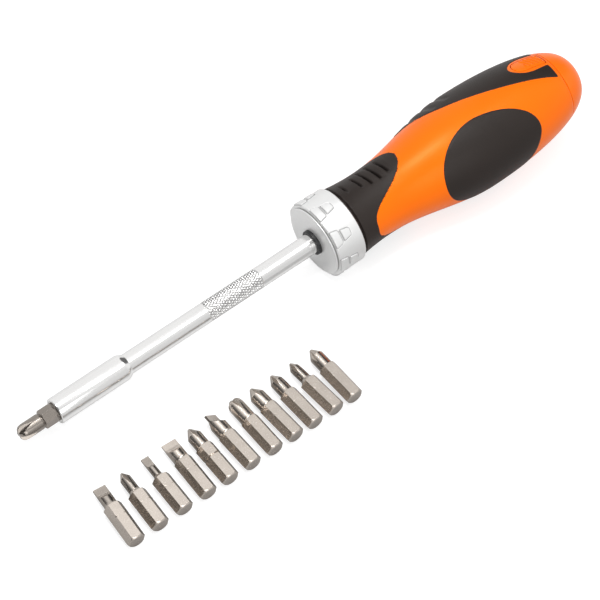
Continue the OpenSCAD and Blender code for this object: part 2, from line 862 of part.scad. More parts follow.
module bit_holder() {
    color("silver")
        laid()
            difference() {
                turned([[0, 0], [holder_r - mouth_bevel, 0], [holder_r, mouth_bevel],
                    [holder_r, holder_l - holder_bevel], [holder_r - holder_waist, holder_l], [0, holder_l]]);
                hexagon(-over, socket_end, socket_r);
                turned([[0, -over], [socket_r + mouth_bevel, -over], [socket_r + mouth_bevel, 0],
                    [socket_r - mouth_bevel, 2 * mouth_bevel], [0, 2 * mouth_bevel]]);
                rod(socket_end - seat, holder_l + over, shaft_r + seat);
            }
}

module holder_magnet() {
    color("dimgray")
        laid()
            rod(magnet_z, socket_end, magnet_r);
}

// Bits

// The hexagon with its bevels and its notches, from its rear face toward the tip.
module bit_hexagon(l, r, notch) {
    face_r = bit_af / 2 * bit_face_share;
    notch_z = l * (1 - notch_at_share);
    notch_r = bit_af / 2 * (1 + notch);
    out = corner_r + over;
    difference() {
        intersection() {
            hexagon(0, l, corner_r);
            turned([[0, 0], [face_r, 0], [corner_r, bit_bevel], [corner_r, l - bit_bevel / 2], [face_r, l],
                [0, l]]);
        }
        turned([[notch_r, notch_z], [out, notch_z - notch_w], [out, notch_z + notch_w]]);
    }
    turned([[0, l - over], [face_r, l - over], [face_r, l], [r, l + neck_slope], [0, l + neck_slope]]);
}

// A blade: two flats ground into the round shank, meeting at the blade's thickness.
module slot_tip(l, r) {
    t = bit_af * blade_share / 2;
    difference() {
        rod(l, bit_l, r);
        both_sides()
            rotate([90, 0, 90])
                linear_extrude(height = 4 * r, center = true)
                    polygon([[t, bit_l + over], [t, bit_l - blade_l * blade_flat_share],
                        [t + r * blade_rise_share, bit_l - blade_l * blade_neck_share],
                        [r + over, bit_l - blade_l - over], [r + over, bit_l + over]]);
    }
}

// A cross point: a cone with four V grooves that run out on the shank.
module cross_tip(l, r, blunt) {
    tip_r = r * point_share;
    cone_l = (r - tip_r) / tan(point_angle) * cone_share;
    core = r * flute_core_share;
    flute = bit_l * flute_share;
    lean = atan((r - core) / flute);
    dome = [for (p = blunt_shares) [r * p[0], bit_l - r * p[1]]];
    difference() {
        if (blunt)
            intersection() {
                rod(l, bit_l, r);
                turned(concat([[0, l], [r, l]], dome, [[0, bit_l]]));
            }
        else
            turned([[0, l], [r, l], [r, bit_l - cone_l], [tip_r, bit_l], [0, bit_l]]);
        for (i = [0 : 3])
            rotate([0, 0, 45 + 90 * i])
                translate([core, 0, bit_l])
                    rotate([0, -lean, 0])
                        translate([0, 0, -2 * flute])
                            linear_extrude(height = 3 * flute)
                                polygon([[0, 0], [2 * r, 2 * r], [2 * r, -2 * r]]);
    }
}

module bit(shares) {
    l = bit_l * (1 - shares[2]);
    r = bit_af / 2 * shares[1];
    union() {
        bit_hexagon(l, r, shares[3]);
        rotate([0, 0, shares[4]])
            if (shares[0] == "slot")
                slot_tip(l + neck_slope / 2, r);
            else
                cross_tip(l + neck_slope / 2, r, shares[0] == "round");
    }
}

module inserted_bit() {
    color("darkgray")
        laid()
            translate([0, 0, bit_in])
                rotate([180, 0, 0])
                    bit(inserted_shares);
}

module loose_bit(i) {
    along = place_shares[i][0] * row_l;
    color("darkgray")
        translate([row_x + along * cos(row_turn), along * sin(row_turn) - row_y, bit_floor])
            rotate([0, 0, place_shares[i][1]])
                rotate([-90, 0, 0])
                    translate([0, 0, -bit_l / 2])
                        bit(tip_shares[i]);
}

// Bit store

module release_button() {
    lug_z = handle_z + button_end - button_lug_back;
    rib_z = handle_z + button_end - button_rib_end - button_rib_pitch * (button_ribs - 1 / 2);
    color("orange")
        laid() {
            // the underside clears the carrier's plug when the button is pressed
            difference() {
                intersection() {
                    skin(button_front - over, seam_at, -button_t, button_proud);
                    radial(lobe_angle, belly_r + over, key_outline(0));
                }
                rod(handle_z + button_front, handle_z + seam_at, store_r + gap + button_press);
            }
            rotate([0, 0, lobe_angle])
                translate([button_lug_r, -button_lug_w / 2, lug_z])
                    cube([handle_r(button_end) - run_fit - button_lug_r, button_lug_w, button_lug_l]);
            // slanting ribs for the thumb
            intersection() {
                skin(button_front, seam_at, -button_t / 2, button_proud + button_rib_h);
                radial(lobe_angle, belly_r + over, key_outline(-button_rib_end));
                for (i = [0 : button_ribs - 1])
                    rotate([0, 0, lobe_angle])
                        translate([belly_r / 2, 0, rib_z + button_rib_pitch * i])
                            rotate([button_rib_slant, 0, 0])
                                translate([0, -button_w, -button_rib_w / 2])
                                    cube([belly_r, 2 * button_w, button_rib_w]);
            }
        }
}

module button_spring() {
    s = button_front + ledge_l / 2;
    color("silver")
        laid()
            spoke_coil(lobe_angle, handle_z + s, store_bore + ledge_t + run_fit,
                handle_r(s + button_coil_r + wire_r) - button_t - run_fit, button_coil_r, button_turns);
}

module end_cap() {
    color("orangered")
        laid()
            difference() {
                turned(concat([[0, handle_z + cap_s]], outline(cap_s, handle_l, 0),
                    [[0, handle_z + handle_l]]));
                rod(handle_z + seam_at, handle_z + cap_s + tenon_l, tenon_r + seat);
            }
}

module bit_carrier() {
    pocket_r = carrier_web / 2;
    color("dimgray")
        laid()
            difference() {
                union() {
                    rod(plug_z, handle_z + cap_s, store_r);
                    rod(handle_z + seam_at, handle_z + cap_s + tenon_l - gap, tenon_r);
                    intersection() {
                        rod(carrier_z, plug_z + over, store_r);
                        translate([-carrier_half, -store_r, carrier_z])
                            cube([2 * carrier_half, 2 * store_r, carrier_l + over]);
                    }
                }
                for (m = [0, 1])
                    mirror([m, 0, 0])
                        for (i = [0 : places - 1])
                            for (j = [0 : rows - 1])
                                translate([pocket_r, pocket_pitch * (i - (places - 1) / 2) - pocket_w / 2,
                                    carrier_z + carrier_end + j * (pocket_l + carrier_end)])
                                    cube([store_r, pocket_w, pocket_l]);
                rotate([0, 0, lobe_angle])
                    translate([keyway_r, -button_lug_w / 2 - gap, keyway_z])
                        cube([store_r, button_lug_w + 2 * gap, handle_z + cap_s - keyway_z + over]);
            }
}

handle_core();
neck_grip();
side_pad();
under_pad();
top_strip();
ratchet_housing();
nose_plate();
front_bush();
rear_bush();
pawl_pins();
thrust_washer();
detent_ball();
detent_spring();
pawl_spring_forward();
pawl_spring_reverse();
selector_ring();
pawl_forward();
pawl_reverse();
drive_shaft();
ratchet_wheel();
retaining_ring();
bit_holder();
holder_magnet();
inserted_bit();
release_button();
button_spring();
end_cap();
bit_carrier();
loose_bit(0);  // bit_01
loose_bit(1);  // bit_02
loose_bit(2);  // bit_03
loose_bit(3);  // bit_04
loose_bit(4);  // bit_05
loose_bit(5);  // bit_06
loose_bit(6);  // bit_07
loose_bit(7);  // bit_08
loose_bit(8);  // bit_09
loose_bit(9);  // bit_10
loose_bit(10);  // bit_11
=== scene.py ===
# %% [markdown]
# # A ratcheting screwdriver and its bits
# The imported CAD model is the frame of this scene. It is loaded first, and every new
# piece is made in the same coordinates, so nothing has to be fitted afterwards.

# %% Load the frame
import json
import math
import bpy
from mathutils import Matrix, Vector


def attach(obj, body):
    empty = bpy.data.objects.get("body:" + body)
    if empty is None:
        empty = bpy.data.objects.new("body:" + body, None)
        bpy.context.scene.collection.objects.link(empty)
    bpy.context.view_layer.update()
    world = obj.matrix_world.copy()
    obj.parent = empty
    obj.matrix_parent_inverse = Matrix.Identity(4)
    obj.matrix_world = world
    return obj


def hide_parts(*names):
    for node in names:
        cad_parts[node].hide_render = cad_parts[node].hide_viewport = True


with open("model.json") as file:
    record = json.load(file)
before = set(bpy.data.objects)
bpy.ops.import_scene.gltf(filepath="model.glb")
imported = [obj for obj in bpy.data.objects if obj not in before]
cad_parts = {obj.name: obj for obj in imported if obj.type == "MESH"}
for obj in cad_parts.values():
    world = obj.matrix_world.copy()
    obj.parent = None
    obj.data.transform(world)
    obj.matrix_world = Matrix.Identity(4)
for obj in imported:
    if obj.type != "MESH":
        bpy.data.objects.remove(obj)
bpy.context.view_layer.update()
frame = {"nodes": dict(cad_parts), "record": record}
scene = bpy.context.scene

# %% [markdown]
# The camera comes before any shape, because it tells how much detail will show. The
# photograph was taken with a long lens from above the near side, so a lens of about
# 195 mm on a 36 mm sensor gives the same flat perspective. The three directions are
# the picture's right, its up and the way the lens looks.

# %% Camera
VIEW_RIGHT = Vector((0.78279, -0.619407, 0.059794))
VIEW_UP = Vector((0.488889, 0.671589, 0.556737))
VIEW_FORWARD = Vector((0.385004, 0.406575, -0.828534))
EYE = Vector((-0.3533707, -0.4912557, 0.9731349))
SENSOR_MM, LENS_MM = 36.0, 195.66
NEAREST_M, FARTHEST_M = 0.05, 20.0


def stand_camera():
    data = bpy.data.cameras.new("photo_camera")
    data.sensor_width = SENSOR_MM
    data.lens = LENS_MM
    data.clip_start = NEAREST_M
    data.clip_end = FARTHEST_M
    camera = bpy.data.objects.new("photo_camera", data)
    scene.collection.objects.link(camera)
    turn = Matrix((VIEW_RIGHT, VIEW_UP, -VIEW_FORWARD)).transposed().to_4x4()
    camera.matrix_world = Matrix.Translation(EYE) @ turn
    scene.camera = camera


stand_camera()
print("camera stands", round(EYE.length, 3), "m from the bit holder's mouth")

# %% [markdown]
# The driver lies on the rim of its ring and on its belly, so its axis rises toward the
# butt. Turned pieces are easiest to draw upright, in millimetres, round the Z axis. One
# matrix then shrinks them to metres and lays them down, and the transform is applied,
# so each finished object sits unturned at the origin.

# %% The driver's own frame
TILT = math.radians(3.37161)
MOUTH_HEIGHT = 8.41607
UP = Vector((-math.sin(TILT), 0.0, math.cos(TILT)))
NEAR = Vector((0.0, -1.0, 0.0))
AXIS = Vector((math.cos(TILT), 0.0, math.sin(TILT)))
MM_IN_M = 1000
LAID = Matrix((UP, NEAR, AXIS)).transposed().to_4x4() @ Matrix.Scale(1 / MM_IN_M, 4)
print("the axis rises", round(math.degrees(TILT), 2), "degrees")

# %% [markdown]
# Every operator acts on all that is selected, and loading leaves the CAD nodes selected.
# So a few small helpers clear the selection, pick one object and open it for editing.

# %% Helpers for selecting
def nothing_selected():
    if bpy.context.object and bpy.context.object.mode != "OBJECT":
        bpy.ops.object.mode_set(mode="OBJECT")
    bpy.ops.object.select_all(action="DESELECT")


def only(obj):
    nothing_selected()
    obj.select_set(True)
    bpy.context.view_layer.objects.active = obj


def edit(obj):
    only(obj)
    bpy.ops.object.mode_set(mode="EDIT")
    bpy.ops.mesh.select_mode(type="VERT")
    bpy.ops.mesh.select_all(action="SELECT")


def done():
    bpy.ops.object.mode_set(mode="OBJECT")


nothing_selected()
print("selected after loading:", len(bpy.context.selected_objects))

# %% [markdown]
# Most pieces of the driver were turned or moulded round one axis. Such a piece starts as
# one point, which is extruded from place to place along the outline, as a pencil would
# draw half of the section.

# %% Drawing a line of points
def start_point(name, at):
    bpy.ops.mesh.primitive_plane_add(size=1.0, location=(0.0, 0.0, 0.0))
    obj = bpy.context.object
    obj.name = name
    obj.data.name = name
    bpy.ops.object.mode_set(mode="EDIT")
    bpy.ops.mesh.select_all(action="SELECT")
    bpy.ops.mesh.merge(type="CENTER")
    bpy.ops.transform.translate(value=at)
    return obj


def draw_line(name, points):
    nothing_selected()
    obj = start_point(name, points[0])
    for a, b in zip(points, points[1:]):
        step = (b[0] - a[0], b[1] - a[1], b[2] - a[2])
        bpy.ops.mesh.extrude_region_move(TRANSFORM_OT_translate={"value": step})
    return obj


# %% [markdown]
# The Spin tool sweeps the line round the axis, as a lathe turns a bar. Its first and last
# rows meet and are merged. A solid piece stops a hair from the axis, because a point that
# lies on it would be made once for each step. Spin can turn a shape inside out, so the
# normals are worked out again at the end.

# %% Turning a section
HAIR = 0.01
MERGE_MM = 0.0005


def turned(name, section, steps=96):
    """A closed solid of revolution from (radius, station) points, in millimetres."""
    ring = list(section) + [section[0]]
    obj = draw_line(name, [(r, 0.0, z) for r, z in ring])
    bpy.ops.mesh.select_all(action="SELECT")
    bpy.ops.mesh.spin(steps=steps, angle=2 * math.pi, center=(0, 0, 0), axis=(0, 0, 1))
    bpy.ops.mesh.select_all(action="SELECT")
    bpy.ops.mesh.remove_doubles(threshold=MERGE_MM)
    bpy.ops.mesh.dissolve_degenerate(threshold=MERGE_MM)
    bpy.ops.mesh.select_all(action="SELECT")
    bpy.ops.mesh.normals_make_consistent(inside=False)
    done()
    print(name, "is turned from", len(section), "points")
    return obj


# %% [markdown]
# Turned metal and moulded plastic have no sharp corners. A bevel could round them later,
# but each corner of a section needs its own radius here, so the round is worked out as a
# few points between the two straight runs that meet. A soft step from 0 to 1 stands
# beside it, because every rib, pad and groove below rises or sinks by one.

# %% Soft corners and soft steps
def soft_corner(before, corner, after, radius, steps=4):
    """Points of a small round between two straight runs that meet at a corner."""
    p, c, q = Vector(before), Vector(corner), Vector(after)
    a = c + (p - c).normalized() * radius
    b = c + (q - c).normalized() * radius
    points = []
    for i in range(steps + 1):
        t = i / steps
        points.append(tuple((1 - t) ** 2 * a + 2 * t * (1 - t) * c + t ** 2 * b))
    return points


def softened(section, radii):
    """The whole section, with a round at each corner that has a radius."""
    out = []
    n = len(section)
    for i, point in enumerate(section):
        if radii[i] > 0:
            out += soft_corner(section[i - 1], point, section[(i + 1) % n], radii[i])
        else:
            out.append(tuple(point))
    return out


def rise(x):
    x = min(1.0, max(0.0, x))
    return x * x * (3 - 2 * x)


print("a soft step a quarter of the way up:", rise(0.25))

# %% [markdown]
# When a piece is ready it is laid down with the driver. A piece that was made where it
# lies is given a plain matrix instead. Then it gets smooth shading up to an angle, is
# tied to its body and is set in place of the CAD node that it stands for.

# %% Finishing a piece
def settle(obj, body, nodes, matrix=LAID, smooth=35.0):
    only(obj)
    obj.matrix_world = matrix @ obj.matrix_world
    bpy.ops.object.transform_apply(location=True, rotation=True, scale=True)
    bpy.ops.object.shade_smooth_by_angle(angle=math.radians(smooth))
    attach(obj, body)
    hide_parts(*nodes)
    print(obj.name, len(obj.data.polygons), "faces")


# %% [markdown]
# Real plastic, rubber and metal are never one flat colour. Each has soft patches, and a
# fine grain that can be felt. Every finish could have its own two noises, but they all
# work alike, so they are a node group, built once and placed in each material.

# %% The shared grain
def grain_group():
    group = bpy.data.node_groups.new("fine_grain", "ShaderNodeTree")
    for socket in ("Scale", "Spread Scale"):
        group.interface.new_socket(socket, in_out="INPUT", socket_type="NodeSocketFloat")
    for socket in ("Grain", "Patches"):
        group.interface.new_socket(socket, in_out="OUTPUT", socket_type="NodeSocketFloat")
    nodes, links = group.nodes, group.links
    entry = nodes.new("NodeGroupInput")
    leave = nodes.new("NodeGroupOutput")
    place = nodes.new("ShaderNodeTexCoord")
    for scale, detail, result in (("Scale", 3.0, "Grain"), ("Spread Scale", 2.0, "Patches")):
        noise = nodes.new("ShaderNodeTexNoise")
        noise.inputs["Detail"].default_value = detail
        links.new(place.outputs["Object"], noise.inputs["Vector"])
        links.new(entry.outputs[scale], noise.inputs["Scale"])
        links.new(noise.outputs["Fac"], leave.inputs[result])
    return group


GRAIN = grain_group()
print("group:", GRAIN.name)

# %% [markdown]
# The grooves and deep places get a painted shade: their colour is darkened to stand in
# for the shade that falls in them. A piece may carry an attribute for this, which is 0 on
# its open faces and more in its grooves, and this group darkens the colour there; the bits
# use it to darken their tips as well. A piece without the attribute reads as 0.

# %% Colour with painted shade in hollows
SHADE_AND_TONE_MARK = "shade_and_tone"


def mark_shade_and_tone(obj, values):
    """One value for each point of the mesh: 0 where the colour stays, and 1 where it is darkest."""
    marks = obj.data.attributes.new(SHADE_AND_TONE_MARK, "FLOAT", "POINT")
    marks.data.foreach_set("value", values)


def colour_group():
    group = bpy.data.node_groups.new("shade_and_tone_colour", "ShaderNodeTree")
    for socket in ("Light", "Dark", "Darkest"):
        group.interface.new_socket(socket, in_out="INPUT", socket_type="NodeSocketColor")
    group.interface.new_socket("Patches", in_out="INPUT", socket_type="NodeSocketFloat")
    group.interface.new_socket("Colour", in_out="OUTPUT", socket_type="NodeSocketColor")
    nodes, links = group.nodes, group.links
    entry = nodes.new("NodeGroupInput")
    leave = nodes.new("NodeGroupOutput")
    marks = nodes.new("ShaderNodeAttribute")
    marks.attribute_name = SHADE_AND_TONE_MARK
    patched = nodes.new("ShaderNodeMix")
    patched.data_type = "RGBA"
    shaded = nodes.new("ShaderNodeMix")
    shaded.data_type = "RGBA"
    links.new(entry.outputs["Patches"], patched.inputs["Factor"])
    links.new(entry.outputs["Dark"], patched.inputs["A"])
    links.new(entry.outputs["Light"], patched.inputs["B"])
    links.new(marks.outputs["Fac"], shaded.inputs["Factor"])
    links.new(patched.outputs["Result"], shaded.inputs["A"])
    links.new(entry.outputs["Darkest"], shaded.inputs["B"])
    links.new(shaded.outputs["Result"], leave.inputs["Colour"])
    return group


SHADE_AND_TONE_COLOUR = colour_group()
print("group:", SHADE_AND_TONE_COLOUR.name)

# %% [markdown]
# A finish joins the two groups. The patches mix two close colours, the grain moves the
# roughness between two bounds, and it also feeds a Bump node that tilts the normal a
# little. What is the same all over is set on the shader itself.

# %% A finish made of colour, roughness and grain
# Where the painted shade is full, the colour falls to this share of the dark colour.
DARKEST_SHARE = 0.22
GRAIN_HEIGHT_M = 0.0002


def finish(name, light, dark, rough, metal=0.0, scale=2600.0, spread=60.0, bump=0.02, **extra):
    """light and dark are linear colours, and rough is the lowest and highest roughness."""
    material = bpy.data.materials.new(name)
    material.use_nodes = True
    nodes, links = material.node_tree.nodes, material.node_tree.links
    shader = nodes["Principled BSDF"]
    grain = nodes.new("ShaderNodeGroup")
    grain.node_tree = GRAIN
    grain.inputs["Scale"].default_value = scale
    grain.inputs["Spread Scale"].default_value = spread
    colour = nodes.new("ShaderNodeGroup")
    colour.node_tree = SHADE_AND_TONE_COLOUR
    colour.inputs["Light"].default_value = (*light, 1.0)
    colour.inputs["Dark"].default_value = (*dark, 1.0)
    colour.inputs["Darkest"].default_value = (*[DARKEST_SHARE * c for c in dark], 1.0)
    links.new(grain.outputs["Patches"], colour.inputs["Patches"])
    links.new(colour.outputs["Colour"], shader.inputs["Base Color"])
    bounds = nodes.new("ShaderNodeMapRange")
    bounds.inputs["To Min"].default_value, bounds.inputs["To Max"].default_value = rough
    links.new(grain.outputs["Grain"], bounds.inputs["Value"])
    links.new(bounds.outputs["Result"], shader.inputs["Roughness"])
    relief = nodes.new("ShaderNodeBump")
    relief.inputs["Strength"].default_value = bump
    relief.inputs["Distance"].default_value = GRAIN_HEIGHT_M
    links.new(grain.outputs["Grain"], relief.inputs["Height"])
    links.new(relief.outputs["Normal"], shader.inputs["Normal"])
    shader.inputs["Metallic"].default_value = metal
    for socket, value in extra.items():
        shader.inputs[socket.replace("_", " ")].default_value = value
    print("finish:", name)
    return material


# %% [markdown]
# The plastics come first. The orange keeps its colour in a highlight, as a filled and
# lightly textured plastic does, so its highlight is tinted too. The rubber is a warm
# black with a closer and duller grain, and the bush is a plain black plastic.

# %% Plastic and rubber
ORANGE = finish("orange_plastic", (0.98, 0.172, 0.001), (0.95, 0.150, 0.001), (0.26, 0.36),
                bump=0.14, Specular_IOR_Level=0.5, Specular_Tint=(1.0, 0.62, 0.25, 1.0))
RUBBER = finish("black_rubber", (0.024, 0.0165, 0.0135), (0.016, 0.0112, 0.0092), (0.40, 0.54),
                scale=3500.0, bump=0.25, Specular_IOR_Level=0.28)
BLACK_PLASTIC = finish("black_plastic", (0.020, 0.020, 0.021), (0.014, 0.014, 0.015),
                       (0.40, 0.52), bump=0.08)
print("plastics:", ORANGE.name, RUBBER.name, BLACK_PLASTIC.name)

# %% [markdown]
# The ring is blasted before it is plated and scatters light almost as paint does, so it
# is only partly metallic. The shaft and its holder are bright chrome, and the bits are
# bare hardened steel with a warm tone.

# %% Metals that show
RING_METAL = finish("satin_ring", (0.82, 0.82, 0.815), (0.77, 0.77, 0.765), (0.36, 0.48),
                    metal=0.6, bump=0.04)
CHROME = finish("bright_chrome", (0.84, 0.835, 0.825), (0.79, 0.785, 0.78), (0.12, 0.19),
                metal=0.9, bump=0.01)
BIT_STEEL = finish("bit_steel", (0.70, 0.63, 0.565), (0.58, 0.52, 0.465), (0.20, 0.31),
                   metal=1.0, spread=240.0, bump=0.05)
print("metals that show:", RING_METAL.name, CHROME.name, BIT_STEEL.name)

# %% [markdown]
# The pawls, the toothed wheel, the springs and the rear bush are inside, and show only
# when the driver is taken apart. They are plain steel, drawn wire and bronze pressed from
# powder, which is a little rough and dull.

# %% Metals inside
INNER_STEEL = finish("inner_steel", (0.55, 0.56, 0.58), (0.46, 0.47, 0.49), (0.30, 0.45),
                     metal=1.0, spread=200.0, bump=0.05)
SPRING_STEEL = finish("spring_wire", (0.60, 0.60, 0.62), (0.50, 0.50, 0.52), (0.22, 0.32),
                      metal=1.0, spread=300.0)
BRONZE = finish("sintered_bronze", (0.50, 0.30, 0.13), (0.40, 0.23, 0.09), (0.40, 0.55),
                metal=1.0, scale=5000.0, bump=0.2)
print("metals inside:", INNER_STEEL.name, SPRING_STEEL.name, BRONZE.name)

# %% [markdown]
# The record says which finish each CAD node has. The pieces inside keep their CAD meshes,
# so they get their finish here, and each new piece gets its own below.

# %% Finishes on the CAD nodes
CAD_FINISHES = {
    "orange_plastic": ORANGE, "rubber": RUBBER, "ring_metal": RING_METAL, "chrome": CHROME,
    "bit_steel": BIT_STEEL, "inner_steel": INNER_STEEL, "spring_steel": SPRING_STEEL,
    "bronze": BRONZE, "black_plastic": BLACK_PLASTIC,
}


def paint(obj, material):
    obj.data.materials.clear()
    obj.data.materials.append(material)


for part in frame["record"]["subparts"]:
    for slot in frame["nodes"][part["node"]].material_slots:
        slot.material = CAD_FINISHES[part["material_slot"]]
print("finishes:", len(CAD_FINISHES))

# %% [markdown]
# The handle's outline: a flare toward the ring, a slim neck, a belly, and a tail that
# rounds into the butt. It could be traced point by point, but it is the same rule as in
# the solid, with closer stations, so the highlight along the orange plastic is one
# unbroken band. A station is a length along the handle, from its front.

# %% The handle's outline
HANDLE_Z = 128.2
HANDLE_L = 110.4
NECK_R, FLARE_R, FLARE_L = 12.96, 14.06, 14.0
BELLY_R, BELLY_AT, BELLY_FLAT = 19.2, 60.0, 1.0
TAIL_PAST, TAIL_POWER = 0.2, 0.322
TAIL_L = HANDLE_L - BELLY_AT - BELLY_FLAT + TAIL_PAST


def handle_r(s):
    if s < FLARE_L:
        return NECK_R + (FLARE_R - NECK_R) * ((FLARE_L - s) / FLARE_L) ** 2
    if s < BELLY_AT:
        swell = (1 - math.cos(math.pi * (s - FLARE_L) / (BELLY_AT - FLARE_L))) / 2
        return NECK_R + (BELLY_R - NECK_R) * swell
    if s < BELLY_AT + BELLY_FLAT:
        return BELLY_R
    u = min(1.0, (s - BELLY_AT - BELLY_FLAT) / TAIL_L)
    return BELLY_R * (1 - u * u) ** TAIL_POWER


print("belly", 2 * BELLY_R, "mm across")

# %% [markdown]
# The orange core is one turned shell: the outside along the outline, the rear face at
# the cap's seam, the bore of the bit store behind and the seat of the ratchet housing in
# front. The rim at the seam gets a small round, which catches the light as a moulded
# edge does.

# %% Orange core
CORE_FRONT, SEAM = 0.5, 99.7
STORE_BORE, STORE_FRONT = 13.15, 34.7
SPIGOT_BORE, SPIGOT_REAR_Z = 9.62, 153.0
RIM_START = 0.35
SEAM_RIM = [(0.04, 0.16), (0.18, 0.0)]
CORE_ROWS, HANDLE_STEPS = 150, 160


def stretch(a, b, n):
    return [a + (b - a) * i / n for i in range(n + 1)]


def core_section():
    """The rim's points are (depth below the outline, distance before the seam)."""
    stations = stretch(CORE_FRONT, SEAM - RIM_START, CORE_ROWS)
    outside = [(handle_r(s), HANDLE_Z + s) for s in stations]
    rim = [(handle_r(SEAM) - deep, HANDLE_Z + SEAM - before) for deep, before in SEAM_RIM]
    store = [(STORE_BORE, HANDLE_Z + SEAM), (STORE_BORE, HANDLE_Z + STORE_FRONT),
             (HAIR, HANDLE_Z + STORE_FRONT)]
    seat = [(HAIR, SPIGOT_REAR_Z), (SPIGOT_BORE, SPIGOT_REAR_Z)]
    return [(SPIGOT_BORE, HANDLE_Z + CORE_FRONT)] + outside + rim + store + seat


core = turned("orange_core", core_section(), HANDLE_STEPS)
print("core points:", len(core.data.vertices))

# %% [markdown]
# The soft grips lie in shallow beds of the core. Their outlines are drawn once, as
# shares of the length to the seam and angles from each grip's own middle line, and are
# rounded by cutting every corner three times. A free curve would do as well, but the
# same few points shape the bed here and the rubber further down.

# %% Outlines of the grips
SIDE_SHARES = [
    (0.3757, 7), (0.3745, -8), (0.384, -22), (0.4035, -33), (0.426, -41), (0.4512, -47),
    (0.4775, -51.5), (0.5049, -54.6), (0.533, -56.6), (0.561, -57.5), (0.589, -57.3),
    (0.6165, -56), (0.6443, -54.3), (0.6722, -51.8), (0.7015, -48.6), (0.7323, -44),
    (0.7632, -37.5), (0.7925, -29), (0.814, -17), (0.82, -4), (0.807, 9), (0.79, 21),
    (0.77, 34), (0.742, 45), (0.7, 52), (0.65, 54), (0.6, 54), (0.55, 53), (0.5, 51),
    (0.45, 44), (0.412, 34), (0.388, 21)]
STRIP_SHARES = [
    (0.9785, -3.5), (0.986, -6), (0.987, -17), (0.9785, -29), (0.9719, -30), (0.9419, -28),
    (0.8851, -27), (0.8127, -30), (0.7237, -38), (0.6235, -48), (0.5121, -55),
    (0.4231, -52), (0.373, -40), (0.3641, -30), (0.375, -24), (0.4073, -19.5),
    (0.4294, -14), (0.4499, -8.5), (0.4907, 0.5), (0.5315, 8), (0.5765, 13), (0.6216, 17.3),
    (0.6662, 21.8), (0.7115, 26.1), (0.7572, 30.5), (0.8122, 35.6), (0.8683, 41),
    (0.9131, 46), (0.9527, 51.2), (0.981, 56.5), (0.988, 56), (0.9872, 46), (0.987, 36),
    (0.986, 32), (0.9785, 31.5), (0.9391, 31.8), (0.905, 31.2), (0.8752, 27.8),
    (0.8498, 21), (0.8406, 14), (0.8498, 7), (0.8752, 0.2), (0.905, -3.2), (0.9391, -3.8)]


def corner_cut(points, rounds=3):
    for _ in range(rounds):
        out = []
        for p, q in zip(points, points[1:] + points[:1]):
            out.append((p[0] * 0.75 + q[0] * 0.25, p[1] * 0.75 + q[1] * 0.25))
            out.append((p[0] * 0.25 + q[0] * 0.75, p[1] * 0.25 + q[1] * 0.75))
        points = out
    return points


print("corners drawn:", len(SIDE_SHARES), "side,", len(STRIP_SHARES), "strip")

# %% [markdown]
# The handle's surface is rolled out flat at a middle radius, so an angle becomes a
# length across. The lower pad hides under the handle. It is the side pad turned over
# and a little narrower, because such handles repeat their pads.

# %% The three grips on the rolled-out handle
ROLL_R = 17.0
SIDE_ANGLE, UNDER_ANGLE, STRIP_ANGLE = 66.0, 190.0, -35.0
TURNED_OVER = -0.92


def grip_outline(shares, wide=1.0):
    """Points (across, along) in millimetres on the handle's rolled-out surface."""
    return corner_cut([(math.radians(a) * wide * ROLL_R, s * SEAM) for s, a in shares])


GRIPS = {
    "side": (SIDE_ANGLE, grip_outline(SIDE_SHARES)),
    "under": (UNDER_ANGLE, grip_outline(SIDE_SHARES, TURNED_OVER)),
    "strip": (STRIP_ANGLE, grip_outline(STRIP_SHARES)),
}
print({name: len(grip[1]) for name, grip in GRIPS.items()})

# %% [markdown]
# The grip round the neck ends in a wavy edge with two lobes. The edge is a mean station
# and a few waves that repeat round the neck. A point of the core is then in a bed when
# it lies before that edge or inside a grip's outline, and not too close to it.

# %% Where the beds are
LOBE = math.radians(-21.0)
LOBE_WAVES = [17.73, 11.09, 0.64, -0.65, 0.17]
BED_MARGIN = 0.75
NO_NEARER, TINY = 1e9, 1e-12


def neck_edge(a):
    return sum(wave * math.cos(2 * k * (a - LOBE)) for k, wave in enumerate(LOBE_WAVES))


def inside(u, s, outline, margin):
    """Count the crossings to one side, and keep the distance to the nearest run."""
    crossed = False
    near = NO_NEARER
    for (u0, s0), (u1, s1) in zip(outline, outline[1:] + outline[:1]):
        if (s0 > s) != (s1 > s) and u < u0 + (u1 - u0) * (s - s0) / (s1 - s0):
            crossed = not crossed
        du, ds = u1 - u0, s1 - s0
        t = ((u - u0) * du + (s - s0) * ds) / (du * du + ds * ds + TINY)
        t = max(0.0, min(1.0, t))
        near = min(near, math.hypot(u - u0 - t * du, s - s0 - t * ds))
    return crossed and near > margin


def in_a_bed(angle, s):
    if s < neck_edge(angle) - BED_MARGIN:
        return True
    for middle, outline in GRIPS.values():
        turn = (angle - math.radians(middle) + math.pi) % (2 * math.pi) - math.pi
        if not min(p[1] for p in outline) < s < max(p[1] for p in outline):
            continue
        if inside(turn * ROLL_R, s, outline, BED_MARGIN):
            return True
    return False


print("a lobe reaches back", round(neck_edge(LOBE), 1), "mm")

# %% [markdown]
# Each bed is almost two millimetres deep and a little smaller than its grip, so the
# rubber's edge covers the step. A Boolean could cut it, but here the points of the core
# that lie in a bed are simply moved toward the axis.

# %% Beds for the soft grips
BED_DEPTH = 1.9
BED_FRONT = CORE_FRONT - 0.1
BED_REAR = SEAM - 0.5


def press_beds(obj):
    moved = 0
    for v in obj.data.vertices:
        s = v.co.z - HANDLE_Z
        r = math.hypot(v.co.x, v.co.y)
        if BED_FRONT < s < BED_REAR and r > handle_r(s) - HAIR:
            if in_a_bed(math.atan2(v.co.y, v.co.x), s):
                v.co.x *= (r - BED_DEPTH) / r
                v.co.y *= (r - BED_DEPTH) / r
                moved += 1
    print("bed points:", moved)


press_beds(core)

# %% [markdown]
# The release button stands in a window that is round in front and square behind. The
# same outline makes the window, with a gap all round, and the button itself.

